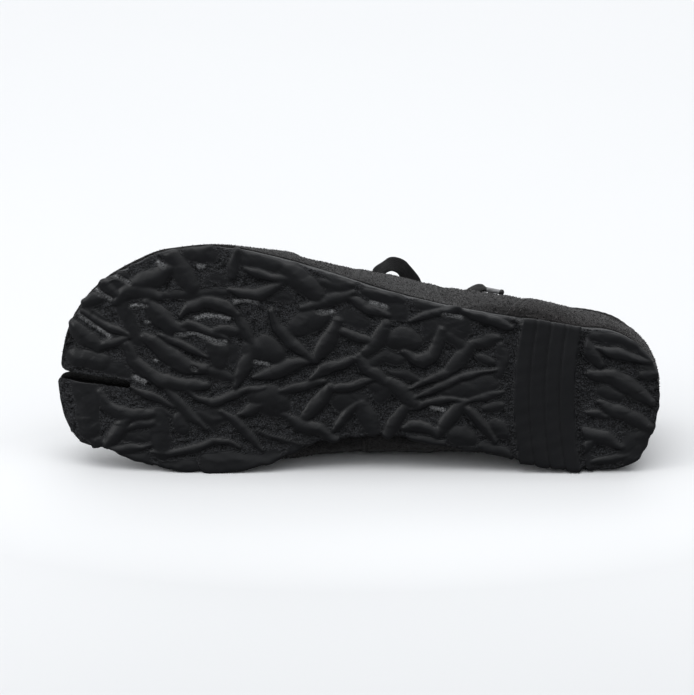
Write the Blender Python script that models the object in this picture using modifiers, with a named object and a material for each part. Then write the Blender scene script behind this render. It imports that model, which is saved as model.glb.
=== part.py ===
"""Tabi sneaker for the left foot, lying on its medial side.

Sizes are in millimetres. A point of the shoe is (along, across, up):
along runs from the toe (-) to the heel (+), across is + on the lateral side,
up is measured from the ground that the treads would stand on.
"""

import math

import bmesh
import bpy
import numpy as np
from mathutils import Matrix, Vector

MM = 0.001

# main sizes
TOE_MEDIAL = -137.2      # tip of the big-toe lobe
TOE_LATERAL = -135.6     # tip of the lobe for the other toes
HEEL_BACK = 137.2
TIP_MEDIAL_ACROSS = 2.4
TIP_LATERAL_ACROSS = 14.0
HEEL_ACROSS = 0.9
NOSE_MEDIAL = 15.5       # length over which each end rounds off
NOSE_LATERAL = 50.0
NOSE_SLOT = 2.2
HEEL_ROUND_MEDIAL = 22.0
HEEL_ROUND_LATERAL = 30.0

# split between the toes
SLOT_ROOT = -103.5
SLOT_HALF = 1.85
SLOT_ACROSS_TIP = 8.3
SLOT_ACROSS_ROOT = 5.0

# sole
LUG = 2.8                # height of the tread ridges
BASE = 5.5               # rubber under the foot
TOE_SPRING = 11.0
TOE_BREAK = -72.0
HEEL_SPRING = 2.2
HEEL_BREAK = 110.0
ARCH_LIFT = 1.6
EDGE_ROUND = 1.1
INSOLE = 3.0
INSOLE_INSET = 5.3
GAP = 0.3

# upper
WALL = 2.0
UPPER_GAP = 0.5
UPPER_INSET = 1.2        # feather line inside the edge of the sole
CREASE_END = -82.0       # the split fades out over the vamp here
VAMP = -40.0             # front of the throat
COLLAR_BACK = 131.5
COLLAR_ROUND = 34.0
THROAT_ROUND = 10.0
TOE_RISE = 27.0          # length over which a toe lobe reaches its height
RIDGE_MEDIAL = 26.0
RIDGE_LATERAL = 22.0
SPLIT_SWELL = 1.75        # the cloth of the lobes nearly meets behind the split

# tongue and lace
TONGUE = 3.0
LACE_WIDE = 7.0
LACE_THICK = 1.2
CORD = 3.2

# how it lies
ROLL = 4.8               # degrees past square, sole turned up
SINK = 0.5               # how far its own weight flattens what touches

OUTLINE = (
    # along, medial, lateral
    (-137.2, -26.5, 60.0),
    (-117.0, -26.4, 63.0),
    (-103.5, -30.1, 64.6),
    (-86.0, -34.2, 68.6),
    (-66.0, -35.4, 70.7),
    (-40.0, -30.6, 65.8),
    (-15.0, -21.6, 58.8),
    (12.0, -19.3, 49.8),
    (36.0, -23.0, 43.7),
    (60.0, -27.5, 39.0),
    (84.0, -32.0, 35.3),
    (106.0, -34.8, 32.2),
    (137.2, -35.2, 31.5),
)

SECTIONS = (
    # along, centre, top, half opening, slope at the top edge, lean medial, lean lateral, pull forward
    (-103.5, 5.0, 38.0, 10.5, 0.0, -8.0, -19.0, 0.0),
    (-82.0, 7.6, 44.5, 10.5, 0.0, -2.0, -16.0, 0.0),
    (-66.0, 9.6, 50.5, 10.5, 0.0, 8.0, -9.0, 0.0),
    (-40.0, 11.5, 59.5, 10.5, 0.0, 31.0, 4.0, 0.0),
    (-30.0, 12.0, 62.0, 11.0, 15.0, 45.0, 5.0, 0.0),
    (-15.0, 12.0, 65.8, 12.0, 24.0, 55.0, 4.5, 0.0),
    (12.0, 11.5, 72.5, 14.0, 34.0, 52.0, 5.0, 0.0),
    (36.0, 9.5, 77.0, 17.0, 46.0, 39.0, 2.0, 0.0),
    (47.0, 7.5, 75.0, 20.5, 58.0, 33.0, 6.0, 0.7),
    (60.0, 4.5, 67.5, 25.0, 72.0, 25.0, 14.0, 2.0),
    (84.0, 0.5, 60.0, 28.0, 81.0, 13.0, 24.0, 3.1),
    (106.0, -1.2, 61.0, 27.6, 83.0, 6.5, 15.0, 4.2),
    (122.0, -0.6, 65.0, 27.2, 84.0, 6.0, 7.0, 5.0),
    (137.2, 0.9, 70.0, 27.0, 84.0, 6.0, 6.0, 5.7),
)

TONGUE_ROWS = (
    # along, crest, half width, sag
    (-57.0, 50.4, 13.0, 1.9),
    (-49.0, 53.4, 16.0, 2.9),
    (-40.0, 56.3, 18.0, 4.0),
    (-28.0, 60.6, 20.0, 6.0),
    (-15.0, 64.6, 21.5, 8.4),
    (0.0, 68.8, 22.5, 10.8),
    (14.0, 72.6, 23.0, 12.8),
    (28.0, 76.6, 23.5, 15.6),
    (38.0, 80.2, 21.5, 16.4),
    (46.0, 85.0, 19.0, 14.0),
    (52.0, 90.6, 16.5, 9.5),
    (56.0, 95.6, 12.5, 5.0),
)

EYELETS = (-28.0, -10.0, 8.0, 26.0)
EYELET_BACK = 6.5        # from the throat edge to an eyelet

# main ridges of the tread: from, to, width, rise as a share of LUG.
# The chart has its own steps along and across the sole.
CHART_STEP = 0.456
CHART_STEP_ACROSS = 0.470
CHART_ALONG_0 = 358.5
CHART_ACROSS_0 = 397.0
LUGS = (
    # along 1, across 1, along 2, across 2, width, rise
    (74, 326, 100, 347, 14, 0.9),
    (86, 312, 128, 336, 12, 0.8),
    (77, 362, 104, 365, 14, 0.8),
    (122, 301, 158, 293, 16, 0.9),
    (138, 284, 172, 265, 16, 1.0),
    (174, 258, 195, 288, 16, 0.9),
    (205, 255, 232, 268, 16, 0.6),
    (150, 303, 180, 331, 15, 0.9),
    (178, 329, 228, 338, 12, 0.8),
    (150, 340, 200, 366, 16, 1.0),
    (130, 352, 150, 373, 14, 0.9),
    (150, 373, 205, 387, 14, 1.0),
    (101, 397, 125, 414, 14, 0.8),
    (125, 414, 155, 414, 13, 0.8),
    (108, 446, 127, 420, 14, 0.8),
    (84, 392, 88, 434, 18, 0.7),
    (168, 390, 203, 427, 12, 0.8),
    (190, 390, 212, 402, 12, 0.8),
    (212, 402, 262, 388, 12, 0.8),
    (168, 455, 237, 446, 13, 0.6),
    (185, 312, 207, 301, 16, 0.9),
    (207, 301, 238, 312, 15, 0.9),
    (231, 290, 255, 297, 14, 0.9),
    (255, 297, 282, 283, 14, 0.9),
    (246, 268, 290, 277, 12, 0.7),
    (290, 274, 318, 298, 15, 0.9),
    (297, 306, 348, 294, 13, 0.8),
    (272, 312, 315, 358, 13, 0.9),
    (337, 323, 317, 357, 15, 1.0),
    (240, 320, 252, 346, 13, 0.8),
    (220, 329, 224, 366, 15, 0.8),
    (251, 347, 237, 384, 14, 0.9),
    (262, 378, 310, 361, 14, 1.0),
    (314, 377, 360, 357, 13, 0.9),
    (281, 390, 323, 380, 12, 0.7),
    (307, 415, 330, 386, 14, 0.9),
    (268, 386, 270, 414, 20, 0.9),
    (284, 416, 333, 438, 14, 0.8),
    (225, 412, 262, 447, 14, 0.8),
    (350, 300, 387, 315, 13, 0.8),
    (340, 332, 370, 342, 12, 0.7),
    (383, 323, 368, 352, 15, 0.9),
    (403, 327, 404, 348, 18, 0.8),
    (410, 321, 465, 308, 12, 0.8),
    (405, 350, 432, 356, 13, 0.9),
    (432, 356, 441, 331, 13, 0.9),
    (360, 358, 388, 384, 14, 0.9),
    (392, 384, 414, 403, 14, 0.9),
    (412, 390, 490, 366, 16, 0.8),
    (412, 408, 460, 399, 12, 0.7),
    (336, 428, 356, 404, 13, 0.8),
    (361, 405, 375, 432, 16, 0.9),
    (394, 406, 394, 432, 18, 0.8),
    (407, 427, 437, 433, 13, 0.8),
    (438, 433, 463, 402, 14, 0.9),
    (462, 405, 493, 438, 13, 0.8),
    (463, 312, 513, 326, 13, 0.8),
    (582, 338, 600, 361, 13, 0.8),
    (599, 349, 643, 361, 13, 0.8),
    (592, 374, 622, 378, 15, 0.9),
    (622, 378, 648, 400, 15, 0.9),
    (620, 398, 646, 426, 14, 0.9),
    (600, 402, 618, 416, 13, 0.7),
    (572, 431, 620, 446, 14, 0.8),
    (590, 461, 624, 457, 13, 0.6),
)
BAND_FRONT = 512.0       # plain band under the heel, in chart steps
BAND_BACK = 574.0
BAND_BOW = 7.0
BAND_RISE = 0.85


# ---------------------------------------------------------------- curves
def smooth_curve(xs, ys):
    """A monotone cubic through the rows of one column."""
    xs, ys = np.array(xs, float), np.array(ys, float)
    d = np.diff(ys) / np.diff(xs)
    m = np.concatenate([[d[0]], np.zeros(len(xs) - 2), [d[-1]]])
    for i in range(1, len(xs) - 1):
        if d[i - 1] * d[i] > 0:
            a = 2 * (xs[i + 1] - xs[i]) + (xs[i] - xs[i - 1])
            b = (xs[i + 1] - xs[i]) + 2 * (xs[i] - xs[i - 1])
            m[i] = (a + b) / (a / d[i - 1] + b / d[i])

    def at(x):
        x = np.clip(x, xs[0], xs[-1])
        i = np.clip(np.searchsorted(xs, x, side="right") - 1, 0, len(xs) - 2)
        h = xs[i + 1] - xs[i]
        t = (x - xs[i]) / h
        return (
            (1 + 2 * t) * (1 - t) ** 2 * ys[i]
            + t * (1 - t) ** 2 * h * m[i]
            + t * t * (3 - 2 * t) * ys[i + 1]
            + t * t * (t - 1) * h * m[i + 1]
        )

    return at


def columns(table):
    rows = list(zip(*table))
    return [smooth_curve(rows[0], c) for c in rows[1:]]


full_medial, full_lateral = columns(OUTLINE)
centre, top_height, half_open, top_slope, lean_medial, lean_lateral, pull = columns(SECTIONS)
tongue_crest, tongue_half, tongue_sag = columns(TONGUE_ROWS)


def rounded(distance, length):
    """How much of its full size an end has at a distance from its tip."""
    s = np.clip(distance / length, 0.0, 1.0)
    return np.sqrt(1.0 - (1.0 - s) ** 2)


def ease(t):
    t = np.clip(t, 0.0, 1.0)
    return t * t * (3.0 - 2.0 * t)


def slot_centre(x):
    t = (SLOT_ROOT - x) / (SLOT_ROOT - TOE_MEDIAL)
    return SLOT_ACROSS_ROOT + (SLOT_ACROSS_TIP - SLOT_ACROSS_ROOT) * t


def slot_half(x, inset):
    half = SLOT_HALF + inset
    t = np.clip((x - SLOT_ROOT - inset + half) / half, 0.0, 1.0)
    return half * np.sqrt(1.0 - t * t)


# each edge of the outline, moved inwards by inset
def edge_medial(x, inset):
    full = full_medial(x) + inset
    if x < 0:
        return TIP_MEDIAL_ACROSS + (full - TIP_MEDIAL_ACROSS) * rounded(x - TOE_MEDIAL - inset, NOSE_MEDIAL - inset)
    return HEEL_ACROSS + (full - HEEL_ACROSS) * rounded(HEEL_BACK - inset - x, HEEL_ROUND_MEDIAL - inset)


def edge_lateral(x, inset):
    full = full_lateral(x) - inset
    if x < 0:
        return TIP_LATERAL_ACROSS + (full - TIP_LATERAL_ACROSS) * rounded(x - TOE_LATERAL - inset, NOSE_LATERAL - inset)
    return HEEL_ACROSS + (full - HEEL_ACROSS) * rounded(HEEL_BACK - inset - x, HEEL_ROUND_LATERAL - inset)


def slot_medial(x, inset):
    w = slot_centre(x) - slot_half(x, inset)
    return TIP_MEDIAL_ACROSS + (w - TIP_MEDIAL_ACROSS) * rounded(x - TOE_MEDIAL - inset, NOSE_SLOT)


def slot_lateral(x, inset):
    w = slot_centre(x) + slot_half(x, inset)
    return TIP_LATERAL_ACROSS + (w - TIP_LATERAL_ACROSS) * rounded(x - TOE_LATERAL - inset, NOSE_SLOT)


def spring(x):
    toe = TOE_SPRING * np.clip((TOE_BREAK - x) / (TOE_BREAK - TOE_MEDIAL), 0.0, 1.0) ** 1.8
    heel = HEEL_SPRING * np.clip((x - HEEL_BREAK) / (HEEL_BACK - HEEL_BREAK), 0.0, 1.0) ** 2
    return toe + heel


def sole_top(x):
    return LUG + BASE + spring(x)


# ---------------------------------------------------------------- rows
def make_rows(lobe_rows, body_step, end_rows, inset):
    """Stations from the toe tips to the heel: along on each side, and the rows of the split's root and the throat."""
    toe_m, toe_l, root_at, heel = TOE_MEDIAL + inset, TOE_LATERAL + inset, SLOT_ROOT + inset, HEEL_BACK - inset
    last = (root_at - SLOT_HALF - inset - toe_m) / (root_at - toe_m)
    shares = [last * (k / lobe_rows) ** 2 for k in range(lobe_rows + 1)]
    shares += [1.0 - 0.3 * (1.0 - last), 1.0]
    rows = [(toe_m + (root_at - toe_m) * q, toe_l + (root_at - toe_l) * q) for q in shares]
    root = len(rows) - 1
    front = int(round((VAMP - root_at) / body_step))
    rows += [(root_at + (VAMP - root_at) * k / front,) * 2 for k in range(1, front + 1)]
    vamp = len(rows) - 1
    rows += [(VAMP + THROAT_ROUND * q,) * 2 for q in (0.07, 0.25, 0.55, 1.0)]
    start, stop = VAMP + THROAT_ROUND, heel - 24.0
    middle = int(round((stop - start) / body_step))
    rows += [(start + (stop - start) * k / middle,) * 2 for k in range(1, middle + 1)]
    rows += [(heel - 24.0 * (1.0 - k / end_rows) ** 2,) * 2 for k in range(1, end_rows + 1)]
    return rows, root, vamp


def plan(rows, root, inset):
    """The outline row by row, with the outward direction along both outer edges."""
    n = len(rows)
    medial = [np.array((r[0], float(edge_medial(r[0], inset)))) for r in rows]
    lateral = [np.array((r[1], float(edge_lateral(r[1], inset)))) for r in rows]
    in_m = [np.array((r[0], float(slot_medial(r[0], inset)))) for r in rows[: root + 1]]
    in_l = [np.array((r[1], float(slot_lateral(r[1], inset)))) for r in rows[: root + 1]]
    out = {}
    for key, line, inner, sign in (("medial", medial, in_m, 1.0), ("lateral", lateral, in_l, -1.0)):
        other = (lateral if key == "medial" else medial)[-2]
        ring = [inner[1]] + line + [other]
        d = [ring[k + 2] - ring[k] for k in range(n)]
        out[key] = [sign * np.array((v[1], -v[0])) / np.linalg.norm(v) for v in d]
    return {
        "medial": medial, "lateral": lateral, "slot_m": in_m, "slot_l": in_l,
        "medial_out": out["medial"], "lateral_out": out["lateral"],
    }


# ---------------------------------------------------------------- tread
def lug_height(x, w):
    """Height of the tread at a point of the sole, from 0 to LUG."""
    u, v = x / CHART_STEP + CHART_ALONG_0, CHART_ACROSS_0 - w / CHART_STEP_ACROSS
    best = 0.0
    bow = BAND_BOW * ((v - 395.0) / 72.0) ** 2
    if BAND_FRONT + bow < u < BAND_BACK + bow:
        return LUG * BAND_RISE
    if abs(u - BAND_FRONT - bow) < 8 or abs(u - BAND_BACK - bow) < 8:
        return 0.0
    for a1, c1, a2, c2, wide, rise in LUGS:
        da, dc = a2 - a1, c2 - c1
        long2 = da * da + dc * dc
        t = min(1.0, max(0.0, ((u - a1) * da + (v - c1) * dc) / long2))
        far = math.hypot(u - a1 - t * da, v - c1 - t * dc) / (0.5 * wide + 2.0)
        if far < 1.2:
            best = max(best, rise * float(1.0 - ease((far - 0.2) / 1.0)))
    return LUG * best


def sole_bottom(x, w, from_edge):
    arch = ARCH_LIFT * math.exp(-(((x - 6.0) / 36.0) ** 2)) * float(ease((22.0 - w) / 40.0))
    edge = EDGE_ROUND * max(0.0, 1.0 - from_edge / 4.0) ** 2
    return LUG + float(spring(x)) + arch + edge - lug_height(x, w)


# ---------------------------------------------------------------- building
COLLECTION = "tabi_sneaker"


def fresh_scene():
    for o in list(bpy.data.objects):
        bpy.data.objects.remove(o, do_unlink=True)
    for m in list(bpy.data.meshes):
        bpy.data.meshes.remove(m)
    for name in (COLLECTION, "cutters"):
        c = bpy.data.collections.get(name) or bpy.data.collections.new(name)
        if c.name not in bpy.context.scene.collection.children:
            bpy.context.scene.collection.children.link(c)


def material(name, colour, rough):
    m = bpy.data.materials.get(name) or bpy.data.materials.new(name)
    m.use_nodes = True
    b = m.node_tree.nodes["Principled BSDF"]
    b.inputs["Base Color"].default_value = (*colour, 1.0)
    b.inputs["Roughness"].default_value = rough
    return m


def stand(p):
    """A point of the shoe in its standing frame, metres."""
    return (p[0] * MM, -p[1] * MM, p[2] * MM)


def add_mesh(name, points, faces, mat, parent, collection=COLLECTION):
    mesh = bpy.data.meshes.new(name)
    mesh.from_pydata([stand(p) for p in points], [], faces)
    bm = bmesh.new()
    bm.from_mesh(mesh)
    bmesh.ops.recalc_face_normals(bm, faces=bm.faces)
    bm.to_mesh(mesh)
    bm.free()
    o = bpy.data.objects.new(name, mesh)
    bpy.data.collections[collection].objects.link(o)
    if mat:
        mesh.materials.append(mat)
    if parent:
        o.parent = parent
    return o


class Sheet:
    """Vertices and faces of one surface that grows row by row."""

    def __init__(self):
        self.points, self.faces = [], []

    def vertex(self, p):
        self.points.append(tuple(float(v) for v in p))
        return len(self.points) - 1

    def strip(self, a, b):
        for j in range(len(a) - 1):
            f = []
            for v in (a[j], a[j + 1], b[j + 1], b[j]):
                if v not in f:
                    f.append(v)
            if len(f) > 2:
                self.faces.append(tuple(f))


def build_outsole(parent):
    rows, root, vamp = make_rows(8, 3.5, 8, 0.0)
    edge = plan(rows, root, 0.0)
    cells_m, cells_l = 9, 13
    s = Sheet()
    n = len(rows)
    low_m, low_l, top_m, top_l, top_sm, top_sl = [], [], [], [], [], []
    for i in range(n):
        m, l = edge["medial"][i], edge["lateral"][i]
        if i < root:
            inner_m, inner_l = edge["slot_m"][i], edge["slot_l"][i]
        else:
            share = 0.378 + 0.12 * (m[0] - SLOT_ROOT) / (HEEL_BACK - SLOT_ROOT)
            inner_m = inner_l = edge["slot_m"][root] if i == root else m + (l - m) * share
        rim = []
        for outer, inner, cells, slot in ((m, inner_m, cells_m, i <= root), (l, inner_l, cells_l, i <= root)):
            span = abs(inner[1] - outer[1])
            line = []
            for j in range(cells + 1):
                t = j / cells
                p = outer + (inner - outer) * t
                away = min(t * span, (1 - t) * span) if slot else t * span
                away = min(away, HEEL_BACK - p[0], p[0] - (TOE_MEDIAL if outer is m else TOE_LATERAL))
                line.append((p[0], p[1], sole_bottom(p[0], p[1], max(0.0, away))))
            rim.append(line)
        tip = i in (0, n - 1)
        if tip:
            pm = s.vertex(rim[0][0])
            a = [pm] * (cells_m + 1)
            b = a[:1] * (cells_l + 1) if i == n - 1 else [s.vertex(rim[1][0])] * (cells_l + 1)
        else:
            a = [s.vertex(p) for p in rim[0]]
            b = [s.vertex(p) for p in rim[1][: cells_l + (1 if i < root else 0)]]
            if i >= root:
                b.append(a[-1])
        low_m.append(a)
        low_l.append(b)
        tm = s.vertex((m[0], m[1], sole_top(m[0])))
        tl = tm if i == n - 1 else s.vertex((l[0], l[1], sole_top(l[0])))
        top_m.append(tm)
        top_l.append(tl)
        if i == 0:
            top_sm.append(tm)
            top_sl.append(tl)
        elif i < root:
            top_sm.append(s.vertex((inner_m[0], inner_m[1], sole_top(inner_m[0]))))
            top_sl.append(s.vertex((inner_l[0], inner_l[1], sole_top(inner_l[0]))))
        elif i == root:
            r = s.vertex((inner_m[0], inner_m[1], sole_top(inner_m[0])))
            top_sm.append(r)
            top_sl.append(r)
    for i in range(n - 1):
        s.strip(low_m[i], low_m[i + 1])
        s.strip(low_l[i], low_l[i + 1])
        s.strip([low_m[i][0], top_m[i]], [low_m[i + 1][0], top_m[i + 1]])
        s.strip([low_l[i][0], top_l[i]], [low_l[i + 1][0], top_l[i + 1]])
        if i < root:
            s.strip([low_m[i][-1], top_sm[i]], [low_m[i + 1][-1], top_sm[i + 1]])
            s.strip([low_l[i][-1], top_sl[i]], [low_l[i + 1][-1], top_sl[i + 1]])
            s.strip([top_m[i], top_sm[i]], [top_m[i + 1], top_sm[i + 1]])
            s.strip([top_l[i], top_sl[i]], [top_l[i + 1], top_sl[i + 1]])
        elif i == root:
            s.strip([top_m[i], top_sm[i], top_l[i]], [top_m[i + 1], top_m[i + 1], top_l[i + 1]])
        else:
            s.strip([top_m[i], top_l[i]], [top_m[i + 1], top_l[i + 1]])
    return add_mesh("outsole", s.points, s.faces, material("rubber", (0.012, 0.012, 0.013), 0.5), parent)


def flat_slab(name, rows, root, inset, low, thick, mat, parent):
    """A slab with the sole's outline, following the toe spring."""
    edge = plan(rows, root, inset)
    s = Sheet()
    n = len(rows)
    ring = {}
    for level, lift in (("a", low), ("b", low + thick)):
        m = [s.vertex((*edge["medial"][i], sole_top(edge["medial"][i][0]) + lift)) for i in range(n)]
        l = [s.vertex((*edge["lateral"][i], sole_top(edge["lateral"][i][0]) + lift)) for i in range(n - 1)] + [m[-1]]
        sm = [m[0]] + [s.vertex((*edge["slot_m"][i], sole_top(edge["slot_m"][i][0]) + lift)) for i in range(1, root + 1)]
        sl = [l[0]] + [s.vertex((*edge["slot_l"][i], sole_top(edge["slot_l"][i][0]) + lift)) for i in range(1, root)] + [sm[-1]]
        for i in range(n - 1):
            if i < root:
                s.strip([m[i], sm[i]], [m[i + 1], sm[i + 1]])
                s.strip([l[i], sl[i]], [l[i + 1], sl[i + 1]])
            elif i == root:
                s.strip([m[i], sm[i], l[i]], [m[i + 1], m[i + 1], l[i + 1]])
            else:
                s.strip([m[i], l[i]], [m[i + 1], l[i + 1]])
        ring[level] = m + l[-2::-1] + sl[1:] + sm[-2:0:-1]
    a, b = ring["a"] + ring["a"][:1], ring["b"] + ring["b"][:1]
    s.strip(a, b)
    return add_mesh(name, s.points, s.faces, mat, parent)


def bezier(p0, p1, p2, p3, t):
    return p0 * (1 - t) ** 3 + p1 * 3 * t * (1 - t) ** 2 + p2 * 3 * t * t * (1 - t) + p3 * t ** 3


UP = np.array((0.0, 0.0, 1.0))


def top_point(x, side):
    """The end of a half section: the crest of the vamp, or the edge of throat and collar."""
    tx = x - float(pull(x))
    if x <= VAMP:
        return np.array((x, float(centre(x)), float(top_height(x))))
    half = float(half_open(x)) * float(rounded(x - VAMP, THROAT_ROUND)) * float(rounded(COLLAR_BACK - tx, COLLAR_ROUND))
    return np.array((tx, float(centre(x)) + side * half, float(top_height(x))))


def foot_gap(x, side):
    """Room over the sole: a wall that leans in has its inner edge lower."""
    lean = math.radians(float(lean_medial(x) if side < 0 else lean_lateral(x)))
    return UPPER_GAP + 1.15 * WALL * max(0.0, -math.sin(lean))


def half_section(x, foot, out, inner, side, tip, ridge):
    """Four points whose curve runs from the feather line to the top of one side."""
    p0 = np.array((foot[0], foot[1], sole_top(foot[0]) + foot_gap(x, side)))
    outward = np.array((out[0], out[1], 0.0))
    root = SLOT_ROOT + UPPER_INSET
    lean_in = UP + outward * math.tan(math.radians(float(lean_medial(root) if side < 0 else lean_lateral(root))))
    if x <= root + 1e-6:
        grown = float(rounded(x - tip, TOE_RISE))
        high = ridge * grown
        p3 = np.array((inner[0], inner[1], sole_top(inner[0]) + UPPER_GAP))
        swell = np.array((0.0, -side * SPLIT_SWELL * float(slot_half(x, UPPER_INSET)) * grown, 0.0))
        return p0, p0 + lean_in * 1.36 * high, p3 + UP * 1.36 * high + swell, p3
    p3 = top_point(x, side)
    lean = math.radians(float(lean_medial(x) if side < 0 else lean_lateral(x)))
    slope = math.radians(float(top_slope(x)))
    if x <= VAMP:
        # the split climbs from the sole to the top of the vamp
        p3[2] = p0[2] + (p3[2] - p0[2]) * float(rounded(x - root, CREASE_END - root))
    far = float(np.linalg.norm(p3 - p0))
    sideways = np.array((0.0, float(side), 0.0)) if x <= VAMP else outward
    h1 = (UP * math.cos(lean) + outward * math.sin(lean)) * (0.38 + 0.2 * lean) * far
    h2 = (sideways * math.cos(slope) - UP * math.sin(slope)) * 0.42 * far
    if x <= CREASE_END:
        k = float(ease((x - root) / (CREASE_END - root)))
        h1 = lean_in * 1.36 * ridge * (1 - k) + h1 * k
        h2 = UP * 1.36 * max(0.0, ridge - p3[2] + p0[2]) * (1 - k) + h2 * k
    return p0, p0 + h1, p3 + h2, p3


def upper_grid(rows, root, vamp, cells, inset):
    """Points of the outside of the upper: for each row its medial and lateral half section."""
    edge = plan(rows, root, inset)
    n = len(rows)
    ts = [(k / cells) for k in range(cells + 1)]
    medial, lateral = [], []
    for i in range(n):
        for store, side, key, slot, tip, ridge in (
            (medial, -1, "medial", "slot_m", TOE_MEDIAL + inset, RIDGE_MEDIAL),
            (lateral, 1, "lateral", "slot_l", TOE_LATERAL + inset, RIDGE_LATERAL),
        ):
            foot, out = edge[key][i], edge[key + "_out"][i]
            inner = edge[slot][i] if i <= root else None
            x = rows[i][0 if side < 0 else 1]
            c = half_section(x, foot, out, inner, side, tip, ridge)
            store.append([bezier(*c, t) for t in ts])
    return medial, lateral


def build_upper(parent):
    rows, root, vamp = make_rows(7, 5.6, 8, UPPER_INSET)
    cells = 10
    medial, lateral = upper_grid(rows, root, vamp, cells, UPPER_INSET)
    n = len(rows)
    s = Sheet()
    vm, vl = [], []
    for i in range(n):
        if i == 0:
            vm.append([s.vertex(medial[0][0])] * (cells + 1))
            vl.append([s.vertex(lateral[0][0])] * (cells + 1))
            continue
        a = [s.vertex(p) for p in medial[i]]
        if i == n - 1:
            b = a
        elif root <= i <= vamp:
            b = [s.vertex(p) for p in lateral[i][:-1]] + [a[-1]]
        else:
            b = [s.vertex(p) for p in lateral[i]]
        vm.append(a)
        vl.append(b)
    for i in range(n - 1):
        s.strip(vm[i], vm[i + 1])
        s.strip(vl[i][::-1], vl[i + 1][::-1])
    o = add_mesh("upper", s.points, s.faces, material("fabric", (0.02, 0.019, 0.019), 0.9), parent)
    # an open surface has no inside to test, so its normals are set by the heel's back face
    back = max(o.data.polygons, key=lambda f: f.center.x)
    if back.normal.x < 0:
        o.data.flip_normals()
    m = o.modifiers.new("wall", "SOLIDIFY")
    m.thickness = WALL * MM
    m.offset = -1.0
    m.use_rim = True
    return o


def build_tongue(parent):
    s = Sheet()
    across = 8
    lines_a, lines_b = [], []
    x0, x1 = TONGUE_ROWS[0][0], TONGUE_ROWS[-1][0]
    n = 15
    for i in range(n + 1):
        x = x0 + (x1 - x0) * i / n
        x2 = x + 0.5
        rise = (float(tongue_crest(min(x2, x1))) - float(tongue_crest(x2 - 1.0))) / (min(x2, x1) - x2 + 1.0)
        normal = np.array((-rise, 0.0, 1.0)) / math.hypot(rise, 1.0)
        a, b = [], []
        for j in range(across + 1):
            k = 2.0 * j / across - 1.0
            half, sag = float(tongue_half(x)), float(tongue_sag(x))
            tilt = 2.0 * sag * k / half
            nn = np.array((normal[0], tilt * normal[2], normal[2]))
            nn /= np.linalg.norm(nn)
            p = np.array((x, float(centre(min(x, 47.0))) + half * k, float(tongue_crest(x)) - sag * k * k))
            thick = TONGUE * (0.45 + 0.55 * (1 - k ** 4))
            a.append(s.vertex(p))
            b.append(s.vertex(p - nn * thick))
        lines_a.append(a)
        lines_b.append(b)
    for i in range(n):
        s.strip(lines_a[i], lines_a[i + 1])
        s.strip(lines_b[i], lines_b[i + 1])
        s.strip([lines_a[i][0], lines_b[i][0]], [lines_a[i + 1][0], lines_b[i + 1][0]])
        s.strip([lines_a[i][-1], lines_b[i][-1]], [lines_a[i + 1][-1], lines_b[i + 1][-1]])
    s.strip(lines_a[0], lines_b[0])
    s.strip(lines_a[-1], lines_b[-1])
    return add_mesh("tongue", s.points, s.faces, material("tongue_cloth", (0.022, 0.021, 0.021), 0.9), parent)


def lace_cover(x, off):
    """Height over which the lace passes, at a distance from the middle of the throat."""
    half, top, slope = float(half_open(x)), float(top_height(x)), math.radians(float(top_slope(x)))
    away = abs(off)
    if away >= half:
        return top - (away - half) * math.tan(slope) - 0.012 * (away - half) ** 2
    bow = float(tongue_crest(x)) - top
    return max(top + bow * (1 - (away / half) ** 2), float(tongue_crest(x)) - float(tongue_sag(x)) * (away / float(tongue_half(x))) ** 2)


def ribbon(name, x1, x2, lift, parent, mat):
    """A flat lace from the medial eyelet at x1 to the lateral one at x2."""
    s = Sheet()
    line = []
    shares = (-1.0, -0.82, -0.66, -0.36, 0.0, 0.36, 0.66, 0.82, 1.0)
    n = len(shares) - 1
    for share in shares:
        x = x1 + (x2 - x1) * (0.5 + 0.5 * share)
        reach = float(half_open(x)) + EYELET_BACK + 3.0
        off = reach * share
        steep = math.cos(math.radians(float(top_slope(x)) if abs(off) > float(half_open(x)) else 0.0))
        line.append(np.array((x, float(centre(x)) + off, lace_cover(x, off) + lift / steep)))
    rings = []
    for k, p in enumerate(line):
        d = line[min(k + 1, n)] - line[max(k - 1, 0)]
        d /= np.linalg.norm(d)
        flat = np.cross(d, UP)
        flat /= np.linalg.norm(flat)
        # the flat side follows the rise of the throat towards the shin
        rise = float(tongue_crest(p[0] + 1.0)) - float(tongue_crest(p[0] - 1.0))
        flat = flat + UP * (flat[0] * rise / 2.0)
        flat = flat - d * np.dot(flat, d)
        flat /= np.linalg.norm(flat)
        normal = np.cross(flat, d)
        if normal[2] < 0:
            normal = -normal
        rings.append([
            s.vertex(p + flat * a * LACE_WIDE / 2 + normal * b * LACE_THICK / 2)
            for a, b in ((-1, -1), (1, -1), (1, 1), (-1, 1))
        ])
    for a, b in zip(rings, rings[1:]):
        s.strip(a + a[:1], b + b[:1])
    s.faces.append(tuple(rings[0]))
    s.faces.append(tuple(rings[-1]))
    return add_mesh(name, s.points, s.faces, mat, parent)


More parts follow.
